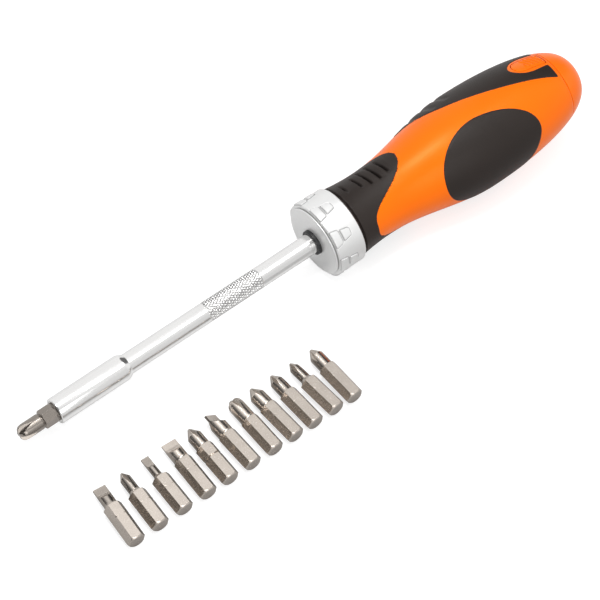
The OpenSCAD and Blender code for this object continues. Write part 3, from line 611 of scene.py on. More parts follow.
# %% Outline of the release button
KEY_HALF, KEY_FRONT, KEY_REAR, KEY_CORNER = 3.35, 85.6, 98.6, 0.9
WINDOW_GAP = 0.28
ROUND_STEPS, CORNER_STEPS = 24, 6


def arc(y, z, radius, a0, a1, steps):
    return [(y + radius * math.cos(a), z + radius * math.sin(a)) for a in stretch(a0, a1, steps)]


def key_outline(grow):
    """Points (across, station from the bit's mouth), round in front and square behind."""
    w = KEY_HALF + grow
    c = KEY_CORNER + grow
    z0, z1 = HANDLE_Z + KEY_FRONT - grow, HANDLE_Z + KEY_REAR + grow
    nose = arc(0.0, z0 + w, w, math.pi, 2 * math.pi, ROUND_STEPS)
    right = arc(w - c, z1 - c, c, 0, math.pi / 2, CORNER_STEPS)
    left = arc(c - w, z1 - c, c, math.pi / 2, math.pi, CORNER_STEPS)
    return nose + right + left


print("button", 2 * KEY_HALF, "by", round(KEY_REAR - KEY_FRONT, 1), "mm")

# %% [markdown]
# The window is a straight prism that a Boolean modifier takes out of the wall. The
# outline is drawn as a line, closed to a face and extruded away from the axis. The
# Rotate tool turns the other way when no window is open, so the angle that came out is
# measured, and the mesh is turned by what is left.

# %% Window for the button
WINDOW_R0, WINDOW_R1 = 10.0, 21.0


def radial_prism(name, outline, angle, r0, r1):
    """A prism that leaves the axis toward an angle, from points across and along."""
    obj = draw_line(name, [(r0, y, z) for y, z in outline])
    bpy.ops.mesh.select_all(action="SELECT")
    bpy.ops.mesh.edge_face_add()
    bpy.ops.mesh.extrude_region_move(TRANSFORM_OT_translate={"value": (r1 - r0, 0, 0)})
    bpy.ops.mesh.select_all(action="SELECT")
    bpy.ops.mesh.normals_make_consistent(inside=False)
    bpy.ops.transform.rotate(value=-angle, orient_axis="Z", center_override=(0, 0, 0))
    done()
    middle = sum((v.co for v in obj.data.vertices), Vector()) / len(obj.data.vertices)
    found = math.atan2(middle.y, middle.x)
    obj.data.transform(Matrix.Rotation(angle - found, 4, "Z"))
    return obj


def cut(obj, cutter):
    only(obj)
    tool = obj.modifiers.new("cut", "BOOLEAN")
    tool.operation = "DIFFERENCE"
    tool.solver = "EXACT"
    tool.object = cutter
    bpy.ops.object.modifier_apply(modifier=tool.name)
    bpy.data.objects.remove(cutter)


cut(core, radial_prism("window", key_outline(WINDOW_GAP), LOBE, WINDOW_R0, WINDOW_R1))
settle(core, "handle", ["handle_core"])
paint(core, ORANGE)

# %% [markdown]
# The soft grips are rubber, moulded into the plastic and standing a little proud, with
# rolled edges. Each is drawn flat first, as length across and station along, where Inset
# can roll the edge evenly. Bisect then cuts the sheet into small cells, so that it can
# bend.

# %% A flat sheet with a rolled edge
SHEET_MERGE = 0.001


def cut_into_cells(first, last, cell, axis):
    at = first + cell
    while at < last:
        place = [at if i == axis else 0 for i in range(3)]
        across = [1 if i == axis else 0 for i in range(3)]
        bpy.ops.mesh.select_all(action="SELECT")
        bpy.ops.mesh.bisect(plane_co=place, plane_no=across)
        at += cell


def soft_sheet(name, outline, low, rolls, cell):
    """A closed sheet: bottom at low, and an edge that rolls up in steps of (inset, height)."""
    obj = draw_line(name, [(u, s, low) for u, s in outline])
    bpy.ops.mesh.select_all(action="SELECT")
    bpy.ops.mesh.edge_face_add()
    bpy.ops.mesh.extrude_region_move(TRANSFORM_OT_translate={"value": (0, 0, rolls[0][1] - low)})
    height = rolls[0][1]
    for width, level in rolls[1:]:
        bpy.ops.mesh.inset(thickness=width, depth=0.0, use_even_offset=True)
        bpy.ops.transform.translate(value=(0, 0, level - height))
        height = level
    for axis in (0, 1):
        places = [point[axis] for point in outline]
        cut_into_cells(min(places), max(places), cell, axis)
    bpy.ops.mesh.select_all(action="SELECT")
    bpy.ops.mesh.remove_doubles(threshold=SHEET_MERGE)
    bpy.ops.mesh.normals_make_consistent(inside=False)
    done()
    print(name, "is cut into", len(obj.data.polygons), "cells")
    return obj


# %% [markdown]
# The side pad fills the palm, and the lower pad is its twin on the hidden side. Every
# point of the flat sheet is wrapped onto the handle, so the surface is as smooth as the
# outline's rule. A Shrinkwrap modifier would catch on the beds.

# %% Side pad and lower pad
EDGE_ROLL = [(0.0, -0.35), (0.05, -0.06), (0.06, 0.06), (0.08, 0.12), (0.10, 0.16)]
SHEET_LOW = -1.2
PAD_CELL = 1.1


def wrap_on_handle(obj, angle):
    for v in obj.data.vertices:
        u, s, h = v.co
        r = handle_r(s) + h
        a = angle + u / ROLL_R
        v.co = (r * math.cos(a), r * math.sin(a), HANDLE_Z + s)


def soft_grip(name, which, node):
    angle, outline = GRIPS[which]
    pad = soft_sheet(name, outline, SHEET_LOW, EDGE_ROLL, PAD_CELL)
    wrap_on_handle(pad, math.radians(angle))
    settle(pad, "handle", [node])
    paint(pad, RUBBER)


soft_grip("side_rubber", "side", "side_pad")
soft_grip("under_rubber", "under", "under_pad")

# %% [markdown]
# The strip along the top gets three thumb hollows, pressed in while it is still flat,
# so it needs smaller cells. Each hollow is a little bowl with a soft rim that leans with
# the strip.

# %% Strip along the top
STRIP_CELL = 0.6
THUMB_AT, THUMB_PITCH, THUMB_COUNT = 44.4, 6.4, 3
THUMB_MIDDLE, THUMB_WIDE, THUMB_LONG = -8.0, 8.0, 2.2
THUMB_LEAN, THUMB_DEPTH = 0.12, 0.6
STRIP_TOP = 0.1


def thumb_hollows(obj):
    for v in obj.data.vertices:
        if v.co.z <= STRIP_TOP:
            continue
        across = v.co.x - THUMB_MIDDLE
        for i in range(THUMB_COUNT):
            s = THUMB_AT + THUMB_PITCH * i
            d = (v.co.y - s - THUMB_LEAN * across) / THUMB_LONG
            if abs(d) < 1:
                span = max(0.0, 1 - (across / THUMB_WIDE) ** 2)
                v.co.z -= THUMB_DEPTH * (1 - d * d) ** 2 * span ** 0.5


strip = soft_sheet("top_rubber", GRIPS["strip"][1], SHEET_LOW, EDGE_ROLL, STRIP_CELL)
thumb_hollows(strip)
wrap_on_handle(strip, math.radians(STRIP_ANGLE))
settle(strip, "handle", ["top_strip"])
paint(strip, RUBBER)

# %% [markdown]
# The grip round the neck has five crescents on each lobe, as if a flat blade had been
# pressed in from the ring's side. Each one is a plane cut across the round surface, so
# its outline is a crescent: a steep step with a fine slot at its foot, and a ramp that
# comes back up. They could be Boolean cuts, but a depth for each point keeps the rubber
# one smooth sheet. Their deep parts are darkened with a painted shade.

# %% Crescents on the neck grip
CRESCENTS = [(4.39, 0.36), (9.89, 0.62), (13.6, 0.95), (17.5, 1.0), (21.4, 0.72)]
CRESCENT_REACH = math.radians(40)
CRESCENT_LEAN = 0.08
STEP_WIDE, RAMP_L, RAMP_POWER, CUT_SHARE = 0.2, 2.9, 1.2, 1.1
SLOT_AT, SLOT_HALF, SLOT_FADE, SLOT_DEPTH = 0.55, 0.65, 0.35, 0.8


def crescent_depth(a, s, r):
    """A crescent has a station and a depth in the middle, both in millimetres."""
    depth = 0.0
    for middle in (LOBE, LOBE + math.pi):
        d = (a - middle + math.pi) % (2 * math.pi) - math.pi
        if abs(d) > CRESCENT_REACH:
            continue
        x, y = r * math.cos(d), r * math.sin(d)
        for at, share in CRESCENTS:
            along = s - at - CRESCENT_LEAN * y
            chord = x - handle_r(at) + share
            if chord <= 0:
                continue
            step = min(1.0, max(0.0, (along + STEP_WIDE / 2) / STEP_WIDE))
            ramp = max(0.0, 1 - max(0.0, along) / RAMP_L)
            slot = max(0.0, 1 - abs(along - SLOT_AT) / SLOT_HALF) * min(1.0, chord / SLOT_FADE)
            depth = max(depth, CUT_SHARE * chord * step * ramp ** RAMP_POWER + SLOT_DEPTH * slot)
    return depth


print("crescents on each lobe:", len(CRESCENTS))

# %% [markdown]
# The neck grip itself is a flat grid that is rolled up. Its last rows follow the wavy
# edge, so no cell is cut by it. The front edge turns in toward the axis behind the
# ring, and the rear edge is rolled down into the bed.

# %% Rolling up the neck grip
NECK_PROUD = 0.04
FRONT_SINK_AT, FRONT_SINK_L, FRONT_SINK = 1.5, 0.35, 0.9
REAR_ROLL_L, REAR_ROLL = 0.45, 0.30
SHADE_FROM, SHADE_PER_MM = 0.25, 0.8


def roll_up_neck(obj):
    """Place each point of a flat grid, from -0.5 to 0.5 both ways, round the neck."""
    marks = []
    for v in obj.data.vertices:
        a = (v.co.x + 0.5) * 2 * math.pi
        end = neck_edge(a)
        s = CORE_FRONT + (end - CORE_FRONT) * (v.co.y + 0.5)
        front = min(1.0, max(0.0, (FRONT_SINK_AT - s) / FRONT_SINK_L))
        rear = max(0.0, 1 - (end - s) / REAR_ROLL_L)
        dip = crescent_depth(a, s, handle_r(s))
        # The deep part of each crescent gets a painted shade, for the shade that falls in its slot.
        marks.append(min(1.0, SHADE_PER_MM * max(0.0, dip - SHADE_FROM)) if front < 1 else 0.0)
        r = handle_r(s) - dip
        r += NECK_PROUD * (1 - rear) - FRONT_SINK * front - REAR_ROLL * rear ** 2
        v.co = (r * math.cos(a), r * math.sin(a), HANDLE_Z + s)
    mark_shade_and_tone(obj, marks)
    print("deep points of the crescents:", sum(mark > 0 for mark in marks))


# %% [markdown]
# The grid's two sides meet and are merged. Solidify then gives the rubber its wall,
# toward the axis, so that the outside stays where it is.

# %% Neck grip
NECK_COLUMNS, NECK_ROWS = 320, 110
NECK_WALL = 0.6


def neck_sheet():
    nothing_selected()
    bpy.ops.mesh.primitive_grid_add(
        x_subdivisions=NECK_COLUMNS, y_subdivisions=NECK_ROWS, size=1.0, location=(0, 0, 0))
    obj = bpy.context.object
    obj.name = "neck_rubber"
    roll_up_neck(obj)
    edit(obj)
    bpy.ops.mesh.remove_doubles(threshold=SHEET_MERGE)
    bpy.ops.mesh.normals_make_consistent(inside=False)
    done()
    only(obj)
    wall = obj.modifiers.new("wall", "SOLIDIFY")
    wall.thickness = NECK_WALL
    wall.offset = -1.0
    bpy.ops.object.modifier_apply(modifier=wall.name)
    return obj


neck = neck_sheet()
settle(neck, "handle", ["neck_grip"], smooth=50.0)
paint(neck, RUBBER)

# %% [markdown]
# The end cap closes the bit store. It is turned in one go: a rounded rim at the seam,
# and the tail of the outline, with its stations closer toward the butt, where the
# outline bends most.

# %% End cap
CAP_FRONT, CAP_REAR = SEAM + 0.12, HANDLE_L - 0.02
CAP_RIM = [(0.18, 0.0), (0.05, 0.16)]
CAP_DOME_FROM = 0.4
CAP_ROWS = 40


def cap_section():
    """The rim's points are (depth below the outline, distance behind the front)."""
    rim = [(handle_r(CAP_FRONT) - deep, HANDLE_Z + CAP_FRONT + behind) for deep, behind in CAP_RIM]
    first = CAP_FRONT + CAP_DOME_FROM
    turns = stretch(0.0, math.pi / 2, CAP_ROWS)
    stations = [first + (CAP_REAR - first) * math.sin(turn) for turn in turns]
    dome = [(handle_r(s), HANDLE_Z + s) for s in stations]
    return [(HAIR, HANDLE_Z + CAP_FRONT)] + rim + dome + [(HAIR, HANDLE_Z + CAP_REAR)]


cap = turned("orange_cap", cap_section(), HANDLE_STEPS)
settle(cap, "store", ["end_cap"])
paint(cap, ORANGE)

# %% [markdown]
# The release button has slanting ribs for the thumb on its rear half. It is drawn flat
# with a rolled edge, as the grips are, and the ribs are raised while it is still flat.
# The valleys between them get a little painted shade.

# %% Ribs on the release button
BUTTON_ROLL = [(0.0, -0.5), (0.06, -0.12), (0.10, 0.0), (0.16, 0.07), (0.2, 0.1)]
BUTTON_CELL, BUTTON_TOP = 0.28, 0.05
RIBS_HALF, RIBS_FRONT, RIBS_REAR = 2.7, 90.6, 98.0
RIB_FROM, RIB_LEAN, RIB_PITCH = 91.0, 0.5, 1.8
RIB_HALF, RIB_HIGH, RIB_FALL, RIB_SHADE = 0.75, 0.42, 0.3, 0.25


def thumb_ribs(obj):
    marks = []
    for v in obj.data.vertices:
        u, s, h = v.co
        mark = 0.0
        if h > BUTTON_TOP and abs(u) < RIBS_HALF and RIBS_FRONT < s < RIBS_REAR:
            across = (s - RIB_FROM - RIB_LEAN * u) % RIB_PITCH
            rib = rise(max(0.0, 1 - abs(across - RIB_PITCH / 2) / RIB_HALF))
            side_fall = min(1.0, (RIBS_HALF - abs(u)) / RIB_FALL)
            v.co.z += RIB_HIGH * rib * side_fall
            # painted shade in the valleys between the ribs
            mark = RIB_SHADE * (1 - rib) * side_fall
        marks.append(mark)
    mark_shade_and_tone(obj, marks)


flat_outline = [(-y, z - HANDLE_Z) for y, z in key_outline(0.0)]
key = soft_sheet("button_key", flat_outline, SHEET_LOW, BUTTON_ROLL, BUTTON_CELL)
thumb_ribs(key)
print("button points:", len(key.data.vertices))

# %% [markdown]
# A pushed button moves straight in, so its sides stay straight too, and only its top
# follows the handle. Its underside stops short of the bit store, and keeps clear of it
# when the button is pressed.

# %% Button in its window
PRESSED_CLEAR = 13.95


def wrap_key(obj):
    for v in obj.data.vertices:
        u, s, h = v.co
        r = max(handle_r(s) + h, PRESSED_CLEAR)
        v.co = (math.sqrt(max(0.0, r * r - u * u)), u, HANDLE_Z + s)
    obj.data.transform(Matrix.Rotation(LOBE, 4, "Z"))


wrap_key(key)
settle(key, "button", ["release_button"])
paint(key, ORANGE)

# %% [markdown]
# The selector ring is a short tube with rounded rims and raised pads for the fingers.
# The tube is turned with close stations and many steps, so that the pads can be raised
# from it afterwards.

# %% Tube of the selector ring
RING_R, RING_BORE = 14.95, 12.7
RING_Z0, RING_Z1 = 116.5, 128.2
FRONT_ROUND, REAR_ROUND, ROUND_ROWS = 0.6, 0.5, 5
FACE_RUN, ROUND_GAP = 1.0, 0.1
RING_ROWS, RING_STEPS = 70, 600


def ring_tube():
    face = RING_R - FACE_RUN
    outer = soft_corner((face, RING_Z0), (RING_R, RING_Z0), (RING_R, RING_Z1), FRONT_ROUND, ROUND_ROWS)
    plain = stretch(RING_Z0 + FRONT_ROUND + ROUND_GAP, RING_Z1 - REAR_ROUND - ROUND_GAP, RING_ROWS)
    outer += [(RING_R, z) for z in plain]
    outer += soft_corner((RING_R, RING_Z0), (RING_R, RING_Z1), (face, RING_Z1), REAR_ROUND, ROUND_ROWS)
    return turned("selector", outer + [(RING_BORE, RING_Z1), (RING_BORE, RING_Z0)], RING_STEPS)


ring = ring_tube()
print("ring points:", len(ring.data.vertices))

# %% [markdown]
# The pads come in pairs, a wide one in front and a narrower one behind it, eight times
# round the ring. Each stands up with a soft edge, inside a fine moat that draws its
# outline, and a painted shade darkens a thin band round its foot. Bevelled copies of one
# pad could be laid on the ring, but then they would meet it in a hard line, and a cast
# pad grows out of it.

# %% Pads on the selector ring
PAD_SHIFT, PAD_PITCH = 4, 45
PAD_ROWS = [(116.75, 119.95, 25, 20), (120.75, 124.2, 16.5, 11)]
PAD_CORNER, PAD_HIGH, PAD_EDGE, PAD_SLOPE = 0.5, 0.33, 0.04, 0.16
MOAT_AT, MOAT_HALF, MOAT_DEEP = 0.22, 0.2, 0.12
# Where the painted shade round each pad's foot lies, how wide and how full it is, and how dark.
SHADE_AT, SHADE_HALF, SHADE_FULL, SHADE = 0.14, 0.22, 1.2, 0.55
SKIN, RIM_MARGIN, PADS_END_Z = 0.25, 0.05, 126.0


def half_width(angle):
    return math.radians(angle / 2) * RING_R


def pad_distance(u, z, pad):
    """Signed distance in millimetres from a pad that is wide in front, with soft corners."""
    z0, z1, w0, w1 = pad
    lean = (w0 - w1) / (z1 - z0)
    side = (abs(u) - (w0 - lean * (z - z0))) / math.hypot(1, lean)
    end = max(z0 - z, z - z1)
    a, b = side + PAD_CORNER, end + PAD_CORNER
    return min(max(a, b), 0.0) + math.hypot(max(a, 0.0), max(b, 0.0)) - PAD_CORNER


def raise_pads(obj):
    """A row is (front, rear, angle at the front, angle at the rear)."""
    pads = [(z0, z1, half_width(a0), half_width(a1)) for z0, z1, a0, a1 in PAD_ROWS]
    marks = [0.0] * len(obj.data.vertices)
    for v in obj.data.vertices:
        r = math.hypot(v.co.x, v.co.y)
        if r < RING_R - SKIN or not RING_Z0 + RIM_MARGIN < v.co.z < PADS_END_Z:
            continue
        angle = math.degrees(math.atan2(v.co.y, v.co.x)) + PAD_SHIFT
        turn = (angle + PAD_PITCH / 2) % PAD_PITCH - PAD_PITCH / 2
        d = min(pad_distance(math.radians(turn) * RING_R, v.co.z, pad) for pad in pads)
        lift = PAD_HIGH * rise((PAD_EDGE - d) / PAD_SLOPE)
        lift -= MOAT_DEEP * rise(1 - abs(d - MOAT_AT) / MOAT_HALF)
        # a painted shade on the thin band round each pad's foot
        marks[v.index] = SHADE * rise(SHADE_FULL - abs(d - SHADE_AT) / SHADE_HALF)
        v.co.x *= (r + lift) / r
        v.co.y *= (r + lift) / r
    mark_shade_and_tone(obj, marks)


raise_pads(ring)
settle(ring, "selector", ["selector_ring"])
paint(ring, RING_METAL)

# %% [markdown]
# In front of the ring lies the nose plate, a plated disc with a rounded rim and a step
# behind it that centres it in the ring. One turned section gives it all.

# %% Nose plate
PLATE_BORE, PLATE_R, PLATE_STEP_R = 4.62, 13.65, 12.4
PLATE_Z0, PLATE_STEP_Z, PLATE_Z1 = 115.7, 116.2, 117.8
PLATE_ROUNDS = [0.2, 0.24, 0.1, 0, 0, 0]

plate = turned("nose_disc", softened(
    [(PLATE_BORE, PLATE_Z0), (PLATE_R, PLATE_Z0), (PLATE_R, PLATE_STEP_Z),
     (PLATE_STEP_R, PLATE_STEP_Z), (PLATE_STEP_R, PLATE_Z1), (PLATE_BORE, PLATE_Z1)],
    PLATE_ROUNDS), HANDLE_STEPS)
settle(plate, "handle", ["nose_plate"])
paint(plate, RING_METAL)

# %% [markdown]
# A black bush guides the shaft through the plate. Only its collar shows, as a dark line
# between the bright shaft and the plate.

# %% Bush round the shaft
BUSH_BORE, BUSH_COLLAR_R, BUSH_R = 4.0, 4.95, 4.6
BUSH_Z0 = 114.3
BUSH_ROUNDS = [0.25, 0.4, 0, 0, 0, 0]

bush = turned("shaft_bush", softened(
    [(BUSH_BORE, BUSH_Z0), (BUSH_COLLAR_R, BUSH_Z0), (BUSH_COLLAR_R, PLATE_Z0),
     (BUSH_R, PLATE_Z0), (BUSH_R, PLATE_Z1), (BUSH_BORE, PLATE_Z1)],
    BUSH_ROUNDS))
settle(bush, "handle", ["front_bush"])
paint(bush, BLACK_PLASTIC)

# %% [markdown]
# The drive shaft is a bright bar with a knurled band for the fingers. The plain
# stretches need few stations, and the band has a fine relief in both directions, so it
# gets a row every sixth of a millimetre. A fine groove ends the band on both sides, and
# a wider and deeper one near the rear takes the retaining ring.

# %% Shaft
SHAFT_R, SHAFT_FRONT_Z, SHAFT_REAR_Z = 3.95, 12.12, 152.4
SHAFT_EDGE = 0.5
CLIP_R, CLIP_Z0, CLIP_Z1, CLIP_SLOPE = 3.45, 150.28, 151.2, 0.08
KNURL_Z, KNURL_L, KNURL_ROWS = 66.4, 23.4, 150
KNURL_EDGE, RELIEF, RELIEF_L = 0.1, 0.12, 0.15
PLAIN_FROM_Z, PLAIN_ROWS, SHAFT_STEPS = 16.0, 6, 260


def shaft_section():
    end_r = SHAFT_R - SHAFT_EDGE
    knurl_end = KNURL_Z + KNURL_L
    front = [(HAIR, SHAFT_FRONT_Z), (end_r, SHAFT_FRONT_Z), (SHAFT_R, SHAFT_FRONT_Z + SHAFT_EDGE)]
    bar = [(SHAFT_R, z) for z in stretch(PLAIN_FROM_Z, KNURL_Z - 2 * RELIEF_L, PLAIN_ROWS)]
    bar += [(SHAFT_R - RELIEF, KNURL_Z - RELIEF_L), (SHAFT_R - RELIEF, KNURL_Z)]
    bar += [(SHAFT_R, z) for z in stretch(KNURL_Z + KNURL_EDGE, knurl_end - KNURL_EDGE, KNURL_ROWS)]
    bar += [(SHAFT_R - RELIEF, knurl_end), (SHAFT_R - RELIEF, knurl_end + RELIEF_L)]
    rear_rows = stretch(knurl_end + 2 * RELIEF_L, CLIP_Z0 - CLIP_SLOPE, PLAIN_ROWS)
    bar += [(SHAFT_R, z) for z in rear_rows]
    clip = [(CLIP_R, CLIP_Z0), (CLIP_R, CLIP_Z1), (SHAFT_R, CLIP_Z1 + CLIP_SLOPE)]
    rear = [(SHAFT_R, SHAFT_REAR_Z - SHAFT_EDGE), (end_r, SHAFT_REAR_Z), (HAIR, SHAFT_REAR_Z)]
    return front + bar + clip + rear


shaft = turned("drive_bar", shaft_section(), SHAFT_STEPS)
print("shaft points:", len(shaft.data.vertices))

# %% [markdown]
# The knurl is pressed by two wheels that leave crossing helical grooves, with small
# diamonds between them. A texture would look the same from afar, but the light on the
# real one comes from its facets. So each point of the band sinks the more the nearer it
# is to a groove of either family, and the grooves are given a painted shade.

# %% Knurl
KNURL_TEETH, KNURL_PITCH, KNURL_DEPTH = 21, 1.9, 0.26
KNURL_SHARP, KNURL_SHADE = 1.5, 2.2
KNURL_MARGIN = 0.05


def knurl(obj):
    marks = [0.0] * len(obj.data.vertices)
    for v in obj.data.vertices:
        z = v.co.z
        r = math.hypot(v.co.x, v.co.y)
        in_band = KNURL_Z + KNURL_MARGIN < z < KNURL_Z + KNURL_L - KNURL_MARGIN
        if in_band and r > SHAFT_R - KNURL_MARGIN:
            turn = KNURL_TEETH * math.atan2(v.co.y, v.co.x)
            run = 2 * math.pi * z / KNURL_PITCH
            one = abs(math.sin((turn + run) / 2))
            two = abs(math.sin((turn - run) / 2))
            depth = KNURL_DEPTH * (1 - min(1.0, KNURL_SHARP * min(one, two)))
            # painted shade in the grooves, the darker the deeper they are
            marks[v.index] = KNURL_SHADE * depth
            v.co.x *= (r - depth) / r
            v.co.y *= (r - depth) / r
    mark_shade_and_tone(obj, marks)


knurl(shaft)
settle(shaft, "drive", ["drive_shaft"])
paint(shaft, CHROME)

# %% [markdown]
# The bit holder is a sleeve with a hexagonal socket. Its outside is turned, with a soft
# bevel at the rear. The socket is cut with a six-sided prism, and a short cone opens its
# mouth, as on the real one, where it leads the bit in.

# %% Bit holder
HOLDER_R, HOLDER_L = 5.046, 31.2
SLEEVE_BORE, SOCKET_END_Z = 3.97, 12.1
BEVEL_IN, BEVEL_L = 0.9, 1.8
SLEEVE_ROUNDS = [0, 0.45, 0.7, 0.15, 0, 0, 0]
SLEEVE_STEPS, CONE_STEPS = 128, 64
HEX_CORNER_R, HEX_MIDDLE_Z, HEX_L, HEX_TURN = 3.716, 6.0, 14.0, math.radians(30)
MOUTH_CONE = [(HAIR, -1.0), (4.6, -1.0), (4.25, 0.0), (3.3, 0.95), (HAIR, 0.95)]


def holder_sleeve():
    section = softened(
        [(HAIR, 0.0), (HOLDER_R, 0.0), (HOLDER_R, HOLDER_L - BEVEL_L),
         (HOLDER_R - BEVEL_IN, HOLDER_L), (SLEEVE_BORE, HOLDER_L),
         (SLEEVE_BORE, SOCKET_END_Z), (HAIR, SOCKET_END_Z)],
        SLEEVE_ROUNDS)
    return turned("holder_sleeve", section, SLEEVE_STEPS)


def socket_cutter():
    nothing_selected()
    bpy.ops.mesh.primitive_cylinder_add(
        vertices=6, radius=HEX_CORNER_R, depth=HEX_L, location=(0, 0, HEX_MIDDLE_Z), rotation=(0, 0, 0))
    obj = bpy.context.object
    bpy.ops.object.transform_apply(location=True, rotation=True, scale=True)
    obj.data.transform(Matrix.Rotation(HEX_TURN, 4, "Z"))
    return obj


holder = holder_sleeve()
cut(holder, socket_cutter())
cut(holder, turned("mouth_cone", MOUTH_CONE, CONE_STEPS))
settle(holder, "drive", ["bit_holder"])
paint(holder, CHROME)

# %% [markdown]
# The bits keep the solid's faces, which are flat and true. The loose triangles of a copy
# are merged, its flat faces are joined again, and a small bevel takes the hardness off
# the edges, as tumbling does with the real ones. Weighted normals then bend the light
# over the small bevels only, so that the facets stay flat.

# %% Copies of the bits with soft edges
BIT_MERGE_M = 1e-6
FLAT_ANGLE, EDGE_ANGLE = math.radians(0.8), math.radians(28)
BIT_EDGE_M = 0.00011


def bevelled_copy(node, name):
    nothing_selected()
    source = frame["nodes"][node]
    obj = source.copy()
    obj.data = source.data.copy()
    obj.parent = None
    for key_name in list(obj.keys()):
        del obj[key_name]
    scene.collection.objects.link(obj)
    obj.name = name
    edit(obj)
    bpy.ops.mesh.remove_doubles(threshold=BIT_MERGE_M)
    bpy.ops.mesh.dissolve_limited(angle_limit=FLAT_ANGLE)
    done()
    only(obj)
    soft = obj.modifiers.new("soft_edges", "BEVEL")
    soft.width = BIT_EDGE_M
    soft.segments = 2
    soft.limit_method = "ANGLE"
    soft.angle_limit = EDGE_ANGLE
    bpy.ops.object.modifier_apply(modifier=soft.name)
    print(name, "has", len(obj.data.polygons), "faces with its soft edges")
    return obj


def true_faces(obj):
    only(obj)
    weigh = obj.modifiers.new("true_faces", "WEIGHTED_NORMAL")
    weigh.keep_sharp = True
    weigh.weight = 100
    bpy.ops.object.modifier_apply(modifier=weigh.name)


# %% [markdown]
# The ground tips of the loose bits look darker than their hexagons. A second material
# could do that, but it would end in a hard line, so the attribute that carries the
# painted shade darkens the tips too. A tip's points lie close to the bit's own axis, so
# the axis is found first: the farthest pair of points gives it roughly, and the pull of
# all the points settles it.

# %% Darker tips
TIP_R, TIP_FADE = 2.95, 0.4
DARK_ENOUGH = 0.2
SETTLING_ROUNDS = 6


def bit_direction(points):
    pairs = ((p, q) for p in points[::9] for q in points[::7])
    ends = max(pairs, key=lambda pair: (pair[0] - pair[1]).length)
    centre = sum(points, Vector()) / len(points)
    along = (ends[1] - ends[0]).normalized()
    for _ in range(SETTLING_ROUNDS):
        pull = Vector()
        for p in points:
            pull += (p - centre) * (p - centre).dot(along)
        along = pull.normalized()
    return along


def darken_tip(obj, whole, tip):
    """whole and tip are how dark the hexagon and the tip are, from 0 to 1."""
    points = [v.co for v in obj.data.vertices]
    along = bit_direction(points)
    side = along.cross(Vector((0, 0, 1))).normalized()
    top = side.cross(along)
    middle = [(max(p.dot(d) for p in points) + min(p.dot(d) for p in points)) / 2 for d in (side, top)]
    marks = []
    for p in points:
        r = MM_IN_M * math.hypot(p.dot(side) - middle[0], p.dot(top) - middle[1])
        marks.append(whole + (tip - whole) * rise((TIP_R - r) / TIP_FADE))
    mark_shade_and_tone(obj, marks)
    print(obj.name, "dark points:", sum(mark > DARK_ENOUGH for mark in marks))


# %% [markdown]
# Eleven bits lie in a row in front of the driver, and one is in its holder. They are the
# same kind of piece, so one function places them all. The one in the holder is darkened
# all over. They already lie where they belong, so their matrix is the plain one.

# %% Bits
LOOSE_BITS = ["bit_%02d" % i for i in range(1, 12)]
# How dark the loose bits' tips are, and how dark the bit in the holder is all over.
LOOSE_TIP, HOLDER_BIT_DARK = 0.36, 0.7
AS_MADE = Matrix.Identity(4)


def lay_bit(node, name, body, whole, tip):
    bit = bevelled_copy(node, name)
    darken_tip(bit, whole, tip)
    settle(bit, body, [node], matrix=AS_MADE, smooth=32.0)
    true_faces(bit)
    paint(bit, BIT_STEEL)


for node in LOOSE_BITS:
    lay_bit(node, "loose_" + node, "handle", 0.0, LOOSE_TIP)
lay_bit("inserted_bit", "working_bit", "bit", HOLDER_BIT_DARK, HOLDER_BIT_DARK)

# %% [markdown]
# The photograph has a plain white ground that keeps only a soft shadow. The floor is a
# middle grey, so that it throws little light back, and a glow that only the camera sees
# brings it to white. Mirror rays see a lighter floor under and behind the driver and a
# darker one in front of it, which gives the chrome and the bits a form.

# %% Colour of the floor
FLOOR_GREY, CAMERA_GLOW = 0.50, 0.66
NEAR_Y, FAR_Y = -0.034, -0.012
NEAR_TONE, FAR_TONE = 0.40, 0.72


def tone_for_mirrors(nodes, links):
    split = nodes.new("ShaderNodeSeparateXYZ")
    links.new(nodes.new("ShaderNodeTexCoord").outputs["Object"], split.inputs[0])
    tone = nodes.new("ShaderNodeMapRange")
    tone.interpolation_type = "SMOOTHSTEP"
    tone.inputs["From Min"].default_value = NEAR_Y
    tone.inputs["From Max"].default_value = FAR_Y
    tone.inputs["To Min"].default_value = NEAR_TONE
    tone.inputs["To Max"].default_value = FAR_TONE
    links.new(split.outputs["Y"], tone.inputs["Value"])
    return tone.outputs["Result"]


def pale_floor():
    material = bpy.data.materials.new("pale_floor")
    material.use_nodes = True
    nodes, links = material.node_tree.nodes, material.node_tree.links
    nodes.remove(nodes["Principled BSDF"])
    rays = nodes.new("ShaderNodeLightPath")
    tone = nodes.new("ShaderNodeMix")
    tone.data_type = "FLOAT"
    tone.inputs["A"].default_value = FLOOR_GREY
    links.new(rays.outputs["Is Glossy Ray"], tone.inputs["Factor"])
    links.new(tone_for_mirrors(nodes, links), tone.inputs["B"])
    matte = nodes.new("ShaderNodeBsdfDiffuse")
    links.new(tone.outputs["Result"], matte.inputs["Color"])
    lift = nodes.new("ShaderNodeMath")
    lift.operation = "MULTIPLY"
    lift.inputs[1].default_value = CAMERA_GLOW
    links.new(rays.outputs["Is Camera Ray"], lift.inputs[0])
    glow = nodes.new("ShaderNodeEmission")
    links.new(lift.outputs[0], glow.inputs["Strength"])
    both = nodes.new("ShaderNodeAddShader")
    links.new(matte.outputs[0], both.inputs[0])
    links.new(glow.outputs[0], both.inputs[1])
    links.new(both.outputs[0], nodes["Material Output"].inputs["Surface"])
    return material


# %% [markdown]
# The floor itself is one large plane, a hair below the lowest point of the driver, so
# that the two never share a surface. It is tied to no body of the part.

# %% Floor
FLOOR_SIZE_M, FLOOR_MIDDLE_M, FLOOR_GAP_M = 6.0, 0.1, 0.0002


